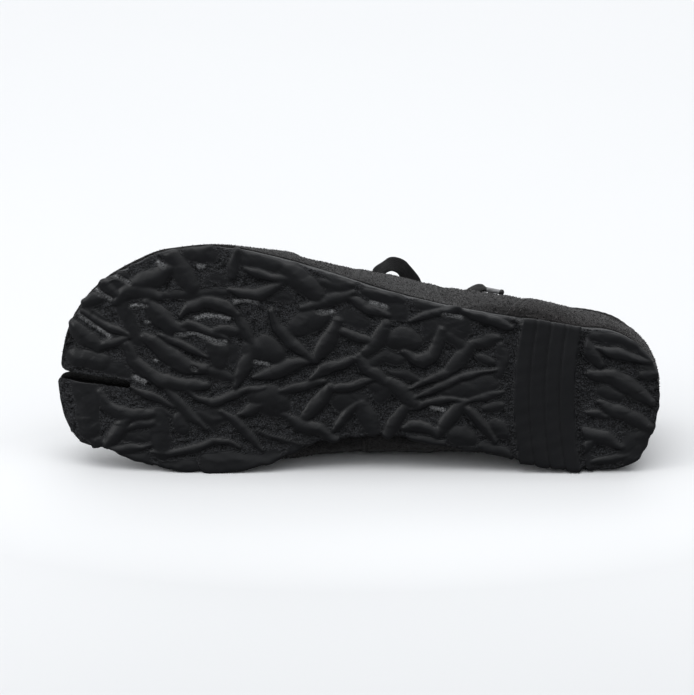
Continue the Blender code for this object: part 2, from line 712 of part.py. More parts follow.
def build_lace(parent):
    mat = material("lace", (0.02, 0.02, 0.02), 0.8)
    e = EYELETS
    passes = [(e[0], e[0], 2.1)]
    for k in range(len(e) - 1):
        passes += [(e[k], e[k + 1], 2.1 + 0.25 * (k % 2)), (e[k + 1], e[k], 2.8 + 0.25 * (k % 2))]
    passes += [(e[-1], e[-1], 2.6)]
    lace = None
    for k, (x1, x2, lift) in enumerate(passes):
        r = ribbon("lace_crossings" if lace is None else f"lace_pass_{k}", x1, x2, lift, parent, mat)
        if lace is None:
            lace = r
            continue
        cutters = bpy.data.collections["cutters"]
        bpy.data.collections[COLLECTION].objects.unlink(r)
        cutters.objects.link(r)
        r.hide_render = True
        r.display_type = "WIRE"
        b = lace.modifiers.new(f"join_{k}", "BOOLEAN")
        b.operation = "UNION"
        b.solver = "EXACT"
        b.object = r
    return lace


KNOT = (33.0, 10.0, 85.0)
BOW = {
    # each stretch of the bow: points along, across, up
    "lace_loop_lateral": (
        (33.0, 16.5, 86.0), (30.5, 26.0, 83.5), (26.6, 35.0, 78.0), (22.0, 42.5, 70.5), (19.2, 47.0, 63.0),
        (15.0, 48.6, 60.0), (10.8, 45.6, 61.8), (8.6, 41.2, 67.5), (10.8, 35.0, 76.0), (18.0, 25.5, 83.0),
        (27.0, 17.0, 87.0),
    ),
    "lace_loop_medial": (
        (31.5, 3.5, 87.0), (26.5, -4.5, 85.0), (20.0, -13.0, 79.0), (16.5, -21.0, 71.5), (19.5, -25.0, 67.0),
        (26.0, -23.5, 69.0), (31.0, -17.0, 75.5), (34.0, -8.0, 82.0), (36.5, 1.0, 87.0),
    ),
    "lace_end_lateral": (
        (38.0, 14.5, 86.5), (42.5, 21.0, 84.5), (47.4, 28.2, 79.5), (53.3, 33.9, 72.0), (59.4, 35.1, 66.0),
        (65.6, 35.0, 61.5),
    ),
    "lace_end_medial": (
        (39.5, 7.5, 87.5), (44.0, 0.0, 87.0), (48.0, -8.0, 82.5), (52.5, -16.0, 76.5), (58.0, -22.5, 73.5),
    ),
}


def build_bow(parent):
    mat = bpy.data.materials["lace"]
    bm = bmesh.new()
    bmesh.ops.create_icosphere(bm, subdivisions=2, radius=1.0)
    mesh = bpy.data.meshes.new("lace_knot")
    bm.to_mesh(mesh)
    bm.free()
    knot = bpy.data.objects.new("lace_knot", mesh)
    mesh.materials.append(mat)
    knot.scale = (5.2 * MM, 5.0 * MM, 3.4 * MM)
    knot.location = stand(KNOT)
    knot.parent = parent
    bpy.data.collections[COLLECTION].objects.link(knot)
    for name, line in BOW.items():
        c = bpy.data.curves.new(name, "CURVE")
        c.dimensions = "3D"
        c.bevel_depth = 0.5 * CORD * MM
        c.bevel_resolution = 2
        c.use_fill_caps = True
        sp = c.splines.new("POLY")
        sp.points.add(len(line) - 1)
        for k, p in enumerate(line):
            sp.points[k].co = (*stand(p), 1.0)
        o = bpy.data.objects.new(name, c)
        c.materials.append(mat)
        o.parent = parent
        bpy.data.collections[COLLECTION].objects.link(o)


def cut_flat(o, floor):
    b = o.modifiers.new("floor", "BOOLEAN")
    b.operation = "DIFFERENCE"
    b.solver = "EXACT"
    b.object = floor


def main():
    fresh_scene()
    shoe = bpy.data.objects.new("lying_shoe", None)
    bpy.data.collections[COLLECTION].objects.link(shoe)
    outsole = build_outsole(shoe)
    slab_rows, slab_root, _ = make_rows(7, 5.0, 8, INSOLE_INSET)
    flat_slab("insole", slab_rows, slab_root, INSOLE_INSET, GAP, INSOLE,
              material("footbed", (0.03, 0.03, 0.03), 0.9), shoe)
    upper = build_upper(shoe)
    tongue = build_tongue(shoe)
    build_lace(shoe)
    build_bow(shoe)

    # laid on its medial side: up becomes +Y, lateral becomes +Z
    turn = Matrix.Rotation(-math.radians(90.0 + ROLL), 4, "X")
    low = min((turn @ v.co).z for o in (outsole, upper) for v in o.data.vertices)
    deep = [(turn @ v.co).y for o in (outsole, tongue) for v in o.data.vertices]
    shoe.rotation_euler = (-math.radians(90.0 + ROLL), 0.0, 0.0)
    shoe.location = (0.0, -0.5 * (min(deep) + max(deep)), -low - SINK * MM)
    bpy.context.view_layer.update()

    bm = bmesh.new()
    bmesh.ops.create_cube(bm, size=1.0)
    mesh = bpy.data.meshes.new("floor_cut")
    bm.to_mesh(mesh)
    bm.free()
    floor = bpy.data.objects.new("floor_cut", mesh)
    floor.scale = (0.6, 0.6, 0.1)
    floor.location = (0.0, 0.0, -0.05)
    floor.hide_render = True
    floor.display_type = "WIRE"
    bpy.data.collections["cutters"].objects.link(floor)
    cut_flat(outsole, floor)
    cut_flat(upper, floor)


main()
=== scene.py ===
"""Looks of the tabi sneaker for the left foot, lying on its medial side with its sole to the camera.

A point of the shoe is (along, across, up) in millimetres: along runs from the toe (-) to the heel (+),
across is + on the lateral side, up is measured from the ground that the treads would stand on.
"""

import math

import bmesh
import bpy
import numpy as np
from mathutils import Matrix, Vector
from mathutils.kdtree import KDTree


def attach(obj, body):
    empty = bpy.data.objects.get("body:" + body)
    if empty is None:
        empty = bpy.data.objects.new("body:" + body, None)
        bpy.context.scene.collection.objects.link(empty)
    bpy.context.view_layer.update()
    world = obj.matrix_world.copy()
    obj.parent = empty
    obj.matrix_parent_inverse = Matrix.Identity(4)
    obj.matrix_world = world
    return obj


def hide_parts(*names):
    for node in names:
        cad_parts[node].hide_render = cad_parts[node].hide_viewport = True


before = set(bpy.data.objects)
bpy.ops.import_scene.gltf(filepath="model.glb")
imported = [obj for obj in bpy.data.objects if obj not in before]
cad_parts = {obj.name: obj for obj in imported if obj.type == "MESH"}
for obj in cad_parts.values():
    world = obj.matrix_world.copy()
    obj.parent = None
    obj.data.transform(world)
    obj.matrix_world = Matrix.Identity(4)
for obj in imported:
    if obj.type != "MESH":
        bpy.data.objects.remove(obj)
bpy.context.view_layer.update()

MM = 0.001

# main sizes
TOE_MEDIAL = -137.2
TOE_LATERAL = -135.6
HEEL_BACK = 137.2
TIP_MEDIAL_ACROSS = 2.4
TIP_LATERAL_ACROSS = 14.0
HEEL_ACROSS = 0.9
NOSE_MEDIAL = 15.5
NOSE_LATERAL = 50.0
NOSE_SLOT = 2.2
HEEL_ROUND_MEDIAL = 22.0
HEEL_ROUND_LATERAL = 30.0
SLOT_ROOT = -103.5
SLOT_HALF = 1.85
SLOT_ACROSS_TIP = 8.3
SLOT_ACROSS_ROOT = 5.0
LUG = 2.8
BASE = 5.5
TOE_SPRING = 11.0
TOE_BREAK = -72.0
HEEL_SPRING = 2.2
HEEL_BREAK = 110.0
ARCH_LIFT = 1.6
EDGE_ROUND = 1.1
INSOLE = 3.0
INSOLE_INSET = 5.3
GAP = 0.3
WALL = 2.0
UPPER_GAP = 0.1
UPPER_INSET = 1.2
NAP_DENSITY = 1.3        # fibres on each square millimetre
CREASE_END = -82.0
VAMP = -40.0
COLLAR_BACK = 131.5
COLLAR_ROUND = 34.0
THROAT_ROUND = 10.0
TOE_RISE = 27.0
RIDGE_MEDIAL = 26.0
RIDGE_LATERAL = 22.0
SPLIT_SWELL = 1.75
TONGUE = 3.0
LACE_WIDE = 7.0
LACE_THICK = 1.2
ROLL = 4.8
SHIFT_Y = -46.877
SHIFT_Z = 35.565

OUTLINE = (
    # along, medial, lateral
    (-137.2, -26.5, 60.0),
    (-117.0, -26.4, 63.0),
    (-103.5, -30.1, 64.6),
    (-86.0, -34.2, 68.6),
    (-66.0, -35.4, 70.7),
    (-40.0, -30.6, 65.8),
    (-15.0, -21.6, 58.8),
    (12.0, -19.3, 49.8),
    (36.0, -23.0, 43.7),
    (60.0, -27.5, 39.0),
    (84.0, -32.0, 35.3),
    (106.0, -34.8, 32.2),
    (137.2, -35.2, 31.5),
)

SECTIONS = (
    # along, centre, top, half opening, slope at the top edge, lean medial, lean lateral, pull forward
    (-103.5, 5.0, 38.0, 10.5, 0.0, -8.0, -19.0, 0.0),
    (-82.0, 7.6, 44.5, 10.5, 0.0, -2.0, -16.0, 0.0),
    (-66.0, 9.6, 50.5, 10.5, 0.0, 8.0, -9.0, 0.0),
    (-40.0, 11.5, 59.5, 10.5, 0.0, 31.0, 4.0, 0.0),
    (-30.0, 12.0, 62.0, 11.0, 15.0, 45.0, 5.0, 0.0),
    (-15.0, 12.0, 65.8, 12.0, 24.0, 55.0, 4.5, 0.0),
    (12.0, 11.5, 72.5, 14.0, 34.0, 52.0, 5.0, 0.0),
    (36.0, 9.5, 77.0, 17.0, 46.0, 39.0, 2.0, 0.0),
    (47.0, 7.5, 75.0, 20.5, 58.0, 33.0, 6.0, 0.7),
    (60.0, 4.5, 67.5, 25.0, 72.0, 25.0, 14.0, 2.0),
    (84.0, 0.5, 60.0, 28.0, 81.0, 13.0, 24.0, 3.1),
    (106.0, -1.2, 61.0, 27.6, 83.0, 6.5, 15.0, 4.2),
    (122.0, -0.6, 65.0, 27.2, 84.0, 6.0, 7.0, 5.0),
    (137.2, 0.9, 70.0, 27.0, 84.0, 6.0, 6.0, 5.7),
)

TONGUE_ROWS = (
    # along, crest, half width, sag
    (-57.0, 50.4, 13.0, 1.9),
    (-49.0, 53.4, 16.0, 2.9),
    (-40.0, 56.3, 18.0, 4.0),
    (-28.0, 60.6, 20.0, 6.0),
    (-15.0, 64.6, 21.5, 8.4),
    (0.0, 68.8, 22.5, 10.8),
    (14.0, 72.6, 23.0, 12.8),
    (28.0, 76.6, 23.5, 15.6),
    (38.0, 80.2, 21.5, 16.4),
    (46.0, 85.0, 19.0, 14.0),
    (52.0, 90.6, 16.5, 9.5),
    (56.0, 95.6, 12.5, 5.0),
)

EYELETS = (-28.0, -10.0, 8.0, 26.0)
EYELET_BACK = 6.5

KNOT = (33.0, 10.0, 85.0)
BOW = {
    # each stretch of the bow: points along, across, up
    "lace_loop_lateral": (
        (33.0, 16.5, 86.0), (30.5, 26.0, 83.5), (26.6, 35.0, 78.0), (22.0, 42.5, 70.5), (19.2, 47.0, 63.0),
        (15.0, 48.6, 60.0), (10.8, 45.6, 61.8), (8.6, 41.2, 67.5), (10.8, 35.0, 76.0), (18.0, 25.5, 83.0),
        (27.0, 17.0, 87.0),
    ),
    "lace_loop_medial": (
        (31.5, 3.5, 87.0), (26.5, -4.5, 85.0), (20.0, -13.0, 79.0), (16.5, -21.0, 71.5), (19.5, -25.0, 67.0),
        (26.0, -23.5, 69.0), (31.0, -17.0, 75.5), (34.0, -8.0, 82.0), (36.5, 1.0, 87.0),
    ),
    "lace_end_lateral": (
        (38.0, 14.5, 86.5), (42.5, 21.0, 84.5), (47.4, 28.2, 79.5), (53.3, 33.9, 72.0), (59.4, 35.1, 66.0),
        (65.6, 35.0, 61.5),
    ),
    "lace_end_medial": (
        (39.5, 7.5, 87.5), (44.0, 0.0, 87.0), (48.0, -8.0, 82.5), (52.5, -16.0, 76.5), (58.0, -22.5, 73.5),
    ),
}

# tread chart: its own steps along and across the sole
CHART_STEP = 0.456
CHART_STEP_ACROSS = 0.470
CHART_ALONG_0 = 358.5
CHART_ACROSS_0 = 397.0
TREAD = (
    # width, rise, pointed ends, crest line as along, across, along, across ...
    # outer toes
    (16, 0.90, 0.3, 74, 330, 84, 339, 98, 348),
    (6, 0.50, 0.6, 85, 310, 98, 316, 110, 322),
    (9, 0.80, 0.4, 83, 315, 105, 327, 129, 336),
    (10, 0.80, 0.5, 97, 349, 112, 346, 130, 339),
    (17, 0.80, 0.0, 77, 361, 102, 364),
    (15, 0.40, 0.0, 107, 369, 127, 374),
    (13, 0.80, 0.3, 86, 307, 95, 303, 106, 297),
    (13, 0.85, 0.2, 99, 282, 110, 290, 121, 298),
    (15, 0.50, 0.2, 112, 280, 127, 285),
    (15, 0.95, 0.4, 119, 304, 127, 294, 140, 290, 160, 297),
    (18, 1.00, 0.4, 136, 285, 154, 280, 174, 269),
    (18, 0.95, 0.2, 173, 257, 184, 271, 193, 287),
    (16, 0.45, 0.0, 192, 254, 212, 256),
    (10, 0.50, 0.2, 157, 295, 190, 295, 229, 292),
    (14, 0.95, 0.5, 183, 316, 192, 307, 206, 302, 223, 305, 239, 314),
    (17, 1.00, 0.3, 149, 304, 160, 315, 172, 326, 184, 331),
    (10, 0.85, 0.6, 172, 327, 190, 325, 209, 331, 229, 339),
    (16, 0.45, 0.1, 122, 303, 130, 322, 138, 342),
    (17, 1.00, 0.4, 147, 338, 160, 346, 173, 357, 190, 367, 206, 369),
    (9, 0.85, 0.6, 160, 335, 178, 342, 195, 350, 209, 357),
    (14, 1.00, 0.4, 127, 346, 135, 361, 148, 373, 163, 381, 186, 384, 208, 385),
    # big toe
    (9, 0.80, 0.6, 130, 387, 145, 394, 160, 400, 179, 407),
    (13, 0.85, 0.4, 100, 396, 108, 407, 118, 414, 135, 416, 153, 413),
    (15, 0.90, 0.3, 128, 420, 119, 433, 107, 447),
    (10, 0.75, 0.3, 124, 429, 138, 426, 154, 422),
    (18, 0.65, 0.2, 160, 415, 162, 434, 163, 453),
    (14, 0.40, 0.0, 129, 439, 148, 438),
    (9, 0.75, 0.6, 107, 451, 130, 450, 151, 446),
    (9, 0.75, 0.6, 152, 453, 168, 454, 186, 450, 201, 446, 215, 440, 228, 441, 240, 447),
    (22, 0.70, 0.1, 84, 388, 88, 408, 90, 432),
    (12, 0.55, 0.3, 92, 442, 104, 447),
    (11, 0.85, 0.5, 168, 388, 179, 402, 191, 415, 206, 428),
    (13, 0.70, 0.0, 180, 419, 183, 427),
    (9, 0.85, 0.4, 186, 388, 199, 397, 211, 402, 221, 400, 233, 394, 250, 390, 264, 387),
    (9, 0.50, 0.6, 150, 411, 163, 410, 174, 417),
    # ball
    (10, 0.80, 0.2, 239, 251, 235, 264, 233, 277),
    (16, 0.45, 0.0, 246, 261, 268, 264, 292, 268),
    (10, 0.85, 0.5, 246, 269, 262, 275, 278, 279, 294, 280),
    (19, 0.95, 0.2, 289, 271, 302, 281, 317, 294),
    (13, 0.95, 0.7, 230, 289, 243, 294, 258, 296, 270, 291, 284, 282),
    (13, 0.85, 0.5, 304, 308, 325, 302, 340, 297, 353, 293),
    (22, 0.90, 0.2, 298, 326, 309, 321, 322, 315),
    (12, 1.00, 0.4, 272, 312, 278, 327, 290, 341, 303, 352, 316, 360),
    (16, 1.00, 0.3, 338, 322, 330, 338, 317, 358),
    (12, 0.90, 0.4, 239, 317, 246, 330, 254, 345),
    (11, 0.80, 0.1, 216, 331, 241, 330),
    (23, 0.90, 0.2, 253, 349, 264, 347, 277, 353),
    (19, 0.85, 0.3, 215, 343, 220, 352, 220, 362),
    (15, 0.95, 0.5, 253, 349, 246, 366, 236, 385),
    (14, 1.00, 0.6, 256, 377, 272, 373, 288, 366, 309, 360),
    (12, 0.95, 0.5, 312, 379, 322, 370, 340, 364, 361, 357),
    (10, 0.80, 0.5, 279, 391, 300, 387, 324, 380),
    (10, 0.85, 0.4, 329, 389, 350, 387, 371, 380),
    (15, 0.95, 0.3, 330, 387, 321, 400, 307, 415),
    (28, 0.90, 0.2, 262, 396, 270, 399, 279, 403),
    (11, 0.85, 0.5, 241, 414, 254, 408, 267, 402),
    (13, 0.90, 0.5, 282, 414, 300, 424, 318, 429, 337, 440),
    (11, 0.85, 0.6, 222, 410, 235, 420, 248, 434, 263, 449),
    (6, 0.55, 0.6, 255, 431, 280, 438, 305, 448),
    (18, 0.35, 0.2, 206, 458, 240, 460, 276, 456),
    (12, 0.55, 0.5, 198, 412, 214, 420, 224, 418),
    (12, 0.60, 0.4, 208, 371, 222, 373, 232, 379),
    # waist
    (11, 0.85, 0.5, 349, 297, 360, 305, 374, 311, 389, 315),
    (10, 0.80, 0.4, 339, 331, 354, 336, 372, 342),
    (15, 0.95, 0.3, 386, 324, 379, 340, 366, 351),
    (22, 0.90, 0.2, 394, 339, 403, 338, 413, 341),
    (10, 0.85, 0.6, 409, 321, 425, 315, 445, 311, 468, 307),
    (13, 1.00, 0.4, 404, 351, 413, 359, 422, 361, 432, 356, 437, 345, 440, 329),
    (15, 0.90, 0.4, 470, 345, 459, 359, 448, 371),
    (13, 0.95, 0.4, 359, 356, 367, 369, 386, 382),
    (15, 0.95, 0.3, 390, 382, 400, 390, 414, 404),
    (16, 0.55, 0.3, 373, 387, 387, 386, 380, 398),
    (9, 0.90, 0.6, 410, 388, 430, 379, 446, 373, 460, 366),
    (9, 0.90, 0.6, 412, 399, 430, 391, 448, 382, 462, 376, 494, 369),
    (9, 0.80, 0.5, 411, 409, 430, 402, 446, 399, 463, 400),
    (20, 0.55, 0.2, 446, 391, 468, 388, 490, 383),
    (22, 0.50, 0.1, 342, 402, 360, 402),
    (11, 0.85, 0.4, 357, 403, 346, 416, 335, 429),
    (17, 0.90, 0.3, 361, 404, 368, 418, 373, 432),
    (14, 0.80, 0.3, 406, 407, 396, 420, 388, 435),
    (12, 0.85, 0.5, 404, 428, 420, 425, 438, 434),
    (14, 0.95, 0.4, 437, 434, 450, 417, 464, 401),
    (11, 0.90, 0.4, 462, 404, 478, 420, 495, 440),
    (20, 0.75, 0.2, 456, 433, 468, 438),
    (9, 0.70, 0.5, 467, 400, 485, 396, 502, 391),
    (11, 0.90, 0.4, 462, 311, 485, 319, 514, 328),
    (9, 0.70, 0.3, 514, 319, 529, 332),
    (13, 0.55, 0.3, 440, 330, 456, 340, 464, 345),
    (12, 0.70, 0.4, 470, 344, 482, 341, 497, 338),
    (12, 0.65, 0.3, 500, 346, 503, 360, 497, 374),
    (10, 0.60, 0.3, 478, 357, 492, 361),
    (15, 0.70, 0.2, 493, 424, 505, 432),
    (11, 0.60, 0.4, 484, 408, 500, 405),
    (14, 0.50, 0.3, 366, 293, 384, 296, 402, 301),
    (12, 0.60, 0.3, 322, 283, 340, 287, 352, 285),
    (12, 0.50, 0.3, 420, 306, 440, 306),
    (13, 0.55, 0.3, 366, 364, 386, 356, 402, 360),
    (10, 0.55, 0.4, 418, 380, 404, 374, 392, 372),
    (12, 0.55, 0.3, 480, 446, 500, 450, 512, 458),
    (10, 0.55, 0.4, 410, 439, 428, 442, 444, 444),
    # heel
    (13, 0.90, 0.3, 578, 337, 588, 351, 599, 364),
    (11, 0.90, 0.5, 595, 348, 615, 353, 646, 362),
    (15, 0.95, 0.4, 589, 374, 612, 377, 630, 387, 649, 402),
    (11, 0.80, 0.4, 598, 401, 610, 409, 620, 417),
    (8, 0.70, 0.4, 586, 412, 606, 416),
    (14, 0.90, 0.3, 612, 409, 630, 416, 649, 428),
    (14, 0.90, 0.5, 574, 429, 590, 434, 605, 437, 621, 446),
    (10, 0.80, 0.5, 574, 452, 584, 448, 594, 437),
    (9, 0.60, 0.4, 590, 462, 610, 459, 629, 456),
    (11, 0.70, 0.2, 640, 375, 658, 374),
    (12, 0.50, 0.2, 590, 335, 612, 338, 632, 344),
    (13, 0.55, 0.2, 600, 390, 618, 396),
    (12, 0.60, 0.2, 636, 438, 648, 432),
    (12, 0.55, 0.2, 640, 352, 650, 362),
)
FACES = (
    # broad smooth faces of the tread: rise, corners as along, across ...
    (0.60, 102, 284, 113, 270, 131, 272, 136, 290, 122, 299),
    (0.80, 189, 244, 216, 242, 216, 261, 204, 266, 191, 263),
    (0.60, 240, 246, 262, 252, 302, 262, 297, 276, 262, 273, 243, 268),
    (0.55, 126, 314, 138, 312, 152, 345, 139, 349, 128, 336),
    (0.45, 104, 360, 129, 359, 134, 377, 106, 373),
    (0.70, 76, 393, 99, 385, 103, 400, 100, 431, 86, 440, 74, 425),
    (0.65, 149, 412, 168, 413, 175, 440, 166, 458, 153, 458, 147, 432),
    (0.45, 125, 430, 152, 429, 152, 446, 125, 448),
    (0.85, 200, 453, 232, 448, 262, 454, 286, 451, 282, 478, 240, 482, 200, 482),
    (0.60, 156, 460, 200, 455, 204, 482, 158, 482),
    (0.45, 188, 404, 224, 402, 236, 418, 216, 434, 200, 424),
    (0.45, 158, 290, 229, 286, 231, 298, 159, 301),
    (0.45, 115, 301, 129, 299, 136, 326, 119, 321),
    (0.45, 336, 391, 366, 389, 366, 404, 345, 417, 333, 408),
    (0.55, 367, 387, 388, 379, 393, 392, 380, 405),
    (0.50, 440, 385, 470, 379, 497, 377, 498, 395, 462, 399, 440, 397),
    (0.50, 418, 317, 470, 313, 475, 334, 458, 349, 440, 340, 420, 345),
    (0.45, 376, 297, 411, 301, 410, 323, 390, 323, 375, 312),
    (0.60, 322, 270, 354, 278, 350, 293, 325, 297),
    (0.55, 412, 294, 462, 304, 440, 310, 413, 313),
    (0.55, 470, 318, 500, 310, 517, 319, 500, 325),
    (0.55, 586, 328, 640, 338, 646, 356, 600, 345),
    (0.50, 632, 358, 666, 360, 666, 379, 640, 377),
    (0.60, 624, 430, 652, 426, 644, 462, 622, 470, 615, 448),
    (0.55, 560, 440, 590, 443, 596, 480, 564, 480),
    (0.55, 98, 448, 150, 450, 158, 474, 128, 470),
    (0.50, 284, 444, 332, 446, 300, 458, 282, 466),
    (0.45, 440, 446, 480, 443, 472, 460, 444, 456),
    (0.40, 222, 338, 240, 335, 247, 360, 232, 373, 224, 362),
    (0.45, 286, 282, 300, 296, 296, 307, 261, 303, 270, 294),
    (0.40, 344, 300, 366, 314, 380, 324, 366, 335, 340, 328, 335, 310),
    (0.40, 210, 269, 233, 271, 232, 287, 197, 289),
)
SPLIT_UNDERCUT = 2.6     # the medial wall of the split falls back behind its lip
GLINT_LEDGES = (
    # ledges in the ground below some ridges, painted pale as a highlight: width, then points as along, across
    (4.0, 195, 315, 207, 312.6, 219, 313.4, 232, 316),
    (4.2, 176, 331, 186, 330, 198, 330.6, 207, 333.4, 219, 338, 228, 338),
    (2.2, 131, 305, 148, 303.5),
    (5.0, 135, 374.5, 142, 377, 149, 380),
    (3.8, 234, 299, 248, 297.5, 260, 300),
    (4.0, 82, 316, 96, 325, 114, 337),
    (4.5, 97, 287, 106, 294, 115, 299),
    (3.5, 117, 273, 126, 278, 134, 282),
    (5.0, 199, 263, 207, 263.5),
    (4.0, 160, 260, 168, 264),
    (3.5, 194, 364, 199, 366),
    (3.5, 255, 358, 270, 361),
    (3.5, 318, 308, 335, 309),
    (4.0, 370, 299, 379, 301, 388, 304),
    (4.0, 430, 404, 445, 407),
    (4.0, 442, 311, 462, 314),
    (3.0, 156, 358, 160, 359),
    (3.0, 147, 320, 152, 321),
)
BAND_FRONT = 512.0
BAND_BACK = 574.0
BAND_BOW = 7.0
BAND_RISE = 0.85


# ---------------------------------------------------------------- curves
def smooth_curve(xs, ys):
    """A monotone cubic through the rows of one column."""
    xs, ys = np.array(xs, float), np.array(ys, float)
    d = np.diff(ys) / np.diff(xs)
    m = np.concatenate([[d[0]], np.zeros(len(xs) - 2), [d[-1]]])
    for i in range(1, len(xs) - 1):
        if d[i - 1] * d[i] > 0:
            a = 2 * (xs[i + 1] - xs[i]) + (xs[i] - xs[i - 1])
            b = (xs[i + 1] - xs[i]) + 2 * (xs[i] - xs[i - 1])
            m[i] = (a + b) / (a / d[i - 1] + b / d[i])

    def at(x):
        x = np.clip(x, xs[0], xs[-1])
        i = np.clip(np.searchsorted(xs, x, side="right") - 1, 0, len(xs) - 2)
        h = xs[i + 1] - xs[i]
        t = (x - xs[i]) / h
        return (
            (1 + 2 * t) * (1 - t) ** 2 * ys[i]
            + t * (1 - t) ** 2 * h * m[i]
            + t * t * (3 - 2 * t) * ys[i + 1]
            + t * t * (t - 1) * h * m[i + 1]
        )

    return at


def columns(table):
    rows = list(zip(*table))
    return [smooth_curve(rows[0], c) for c in rows[1:]]


full_medial, full_lateral = columns(OUTLINE)
centre, top_height, half_open, top_slope, lean_medial, lean_lateral, pull = columns(SECTIONS)
tongue_crest, tongue_half, tongue_sag = columns(TONGUE_ROWS)


def rounded(distance, length):
    s = np.clip(distance / length, 0.0, 1.0)
    return np.sqrt(1.0 - (1.0 - s) ** 2)


def ease(t):
    t = np.clip(t, 0.0, 1.0)
    return t * t * (3.0 - 2.0 * t)


def slot_centre(x):
    t = (SLOT_ROOT - x) / (SLOT_ROOT - TOE_MEDIAL)
    return SLOT_ACROSS_ROOT + (SLOT_ACROSS_TIP - SLOT_ACROSS_ROOT) * t


def slot_half(x, inset):
    half = SLOT_HALF + inset
    t = np.clip((x - SLOT_ROOT - inset + half) / half, 0.0, 1.0)
    return half * np.sqrt(1.0 - t * t)


def edge_medial(x, inset):
    full = full_medial(x) + inset
    if x < 0:
        return TIP_MEDIAL_ACROSS + (full - TIP_MEDIAL_ACROSS) * rounded(x - TOE_MEDIAL - inset, NOSE_MEDIAL - inset)
    return HEEL_ACROSS + (full - HEEL_ACROSS) * rounded(HEEL_BACK - inset - x, HEEL_ROUND_MEDIAL - inset)


def edge_lateral(x, inset):
    full = full_lateral(x) - inset
    if x < 0:
        return TIP_LATERAL_ACROSS + (full - TIP_LATERAL_ACROSS) * rounded(x - TOE_LATERAL - inset, NOSE_LATERAL - inset)
    return HEEL_ACROSS + (full - HEEL_ACROSS) * rounded(HEEL_BACK - inset - x, HEEL_ROUND_LATERAL - inset)


def slot_medial(x, inset):
    w = slot_centre(x) - slot_half(x, inset)
    return TIP_MEDIAL_ACROSS + (w - TIP_MEDIAL_ACROSS) * rounded(x - TOE_MEDIAL - inset, NOSE_SLOT)


def slot_lateral(x, inset):
    w = slot_centre(x) + slot_half(x, inset)
    return TIP_LATERAL_ACROSS + (w - TIP_LATERAL_ACROSS) * rounded(x - TOE_LATERAL - inset, NOSE_SLOT)


def spring(x):
    toe = TOE_SPRING * np.clip((TOE_BREAK - x) / (TOE_BREAK - TOE_MEDIAL), 0.0, 1.0) ** 1.8
    heel = HEEL_SPRING * np.clip((x - HEEL_BREAK) / (HEEL_BACK - HEEL_BREAK), 0.0, 1.0) ** 2
    return toe + heel


def sole_top(x):
    return LUG + BASE + spring(x)


def make_rows(lobe_rows, body_step, end_rows, inset, throat_rows):
    """Stations from the toe tips to the heel: along on each side, and the rows of the split's root and the throat."""
    toe_m, toe_l, root_at, heel = TOE_MEDIAL + inset, TOE_LATERAL + inset, SLOT_ROOT + inset, HEEL_BACK - inset
    last = (root_at - SLOT_HALF - inset - toe_m) / (root_at - toe_m)
    shares = [last * (k / lobe_rows) ** 1.6 for k in range(lobe_rows + 1)]
    shares += [1.0 - (1.0 - last) * q for q in (0.75, 0.5, 0.3, 0.14, 0.04)] + [1.0]
    rows = [(toe_m + (root_at - toe_m) * q, toe_l + (root_at - toe_l) * q) for q in shares]
    root = len(rows) - 1
    front = int(round((VAMP - root_at) / body_step))
    rows += [(root_at + (VAMP - root_at) * k / front,) * 2 for k in range(1, front + 1)]
    vamp = len(rows) - 1
    rows += [(VAMP + THROAT_ROUND * (k / throat_rows) ** 2,) * 2 for k in range(1, throat_rows + 1)]
    start, stop = VAMP + THROAT_ROUND, heel - 24.0
    middle = int(round((stop - start) / body_step))
    rows += [(start + (stop - start) * k / middle,) * 2 for k in range(1, middle + 1)]
    rows += [(heel - 24.0 * (1.0 - k / end_rows) ** 2,) * 2 for k in range(1, end_rows + 1)]
    return rows, root, vamp


def plan(rows, root, inset):
    """The outline row by row, with the outward direction along both outer edges."""
    n = len(rows)
    medial = [np.array((r[0], float(edge_medial(r[0], inset)))) for r in rows]
    lateral = [np.array((r[1], float(edge_lateral(r[1], inset)))) for r in rows]
    in_m = [np.array((r[0], float(slot_medial(r[0], inset)))) for r in rows[: root + 1]]
    in_l = [np.array((r[1], float(slot_lateral(r[1], inset)))) for r in rows[: root + 1]]
    out = {}
    for key, line, inner, sign in (("medial", medial, in_m, 1.0), ("lateral", lateral, in_l, -1.0)):
        other = (lateral if key == "medial" else medial)[-2]
        ring = [inner[1]] + line + [other]
        d = [ring[k + 2] - ring[k] for k in range(n)]
        out[key] = [sign * np.array((v[1], -v[0])) / np.linalg.norm(v) for v in d]
    return {
        "medial": medial, "lateral": lateral, "slot_m": in_m, "slot_l": in_l,
        "medial_out": out["medial"], "lateral_out": out["lateral"],
    }


# ---------------------------------------------------------------- meshes
def place(p):
    """Points of the shoe in the row frame, metres."""
    p = np.asarray(p, float)
    c, s = math.cos(math.radians(ROLL)), math.sin(math.radians(ROLL))
    x, w, h = p[..., 0], p[..., 1], p[..., 2]
    return np.stack([x, h * c + w * s + SHIFT_Y, w * c - h * s + SHIFT_Z], -1) * MM


def from_place(p):
    """The point of the shoe that lies at a place of the row frame."""
    c, s = math.cos(math.radians(ROLL)), math.sin(math.radians(ROLL))
    y, z = p[1] / MM - SHIFT_Y, p[2] / MM - SHIFT_Z
    return p[0] / MM, y * s + z * c, y * c - z * s


def place_direction(d):
    c, s = math.cos(math.radians(ROLL)), math.sin(math.radians(ROLL))
    return np.array((d[0], d[2] * c + d[1] * s, d[1] * c - d[2] * s))


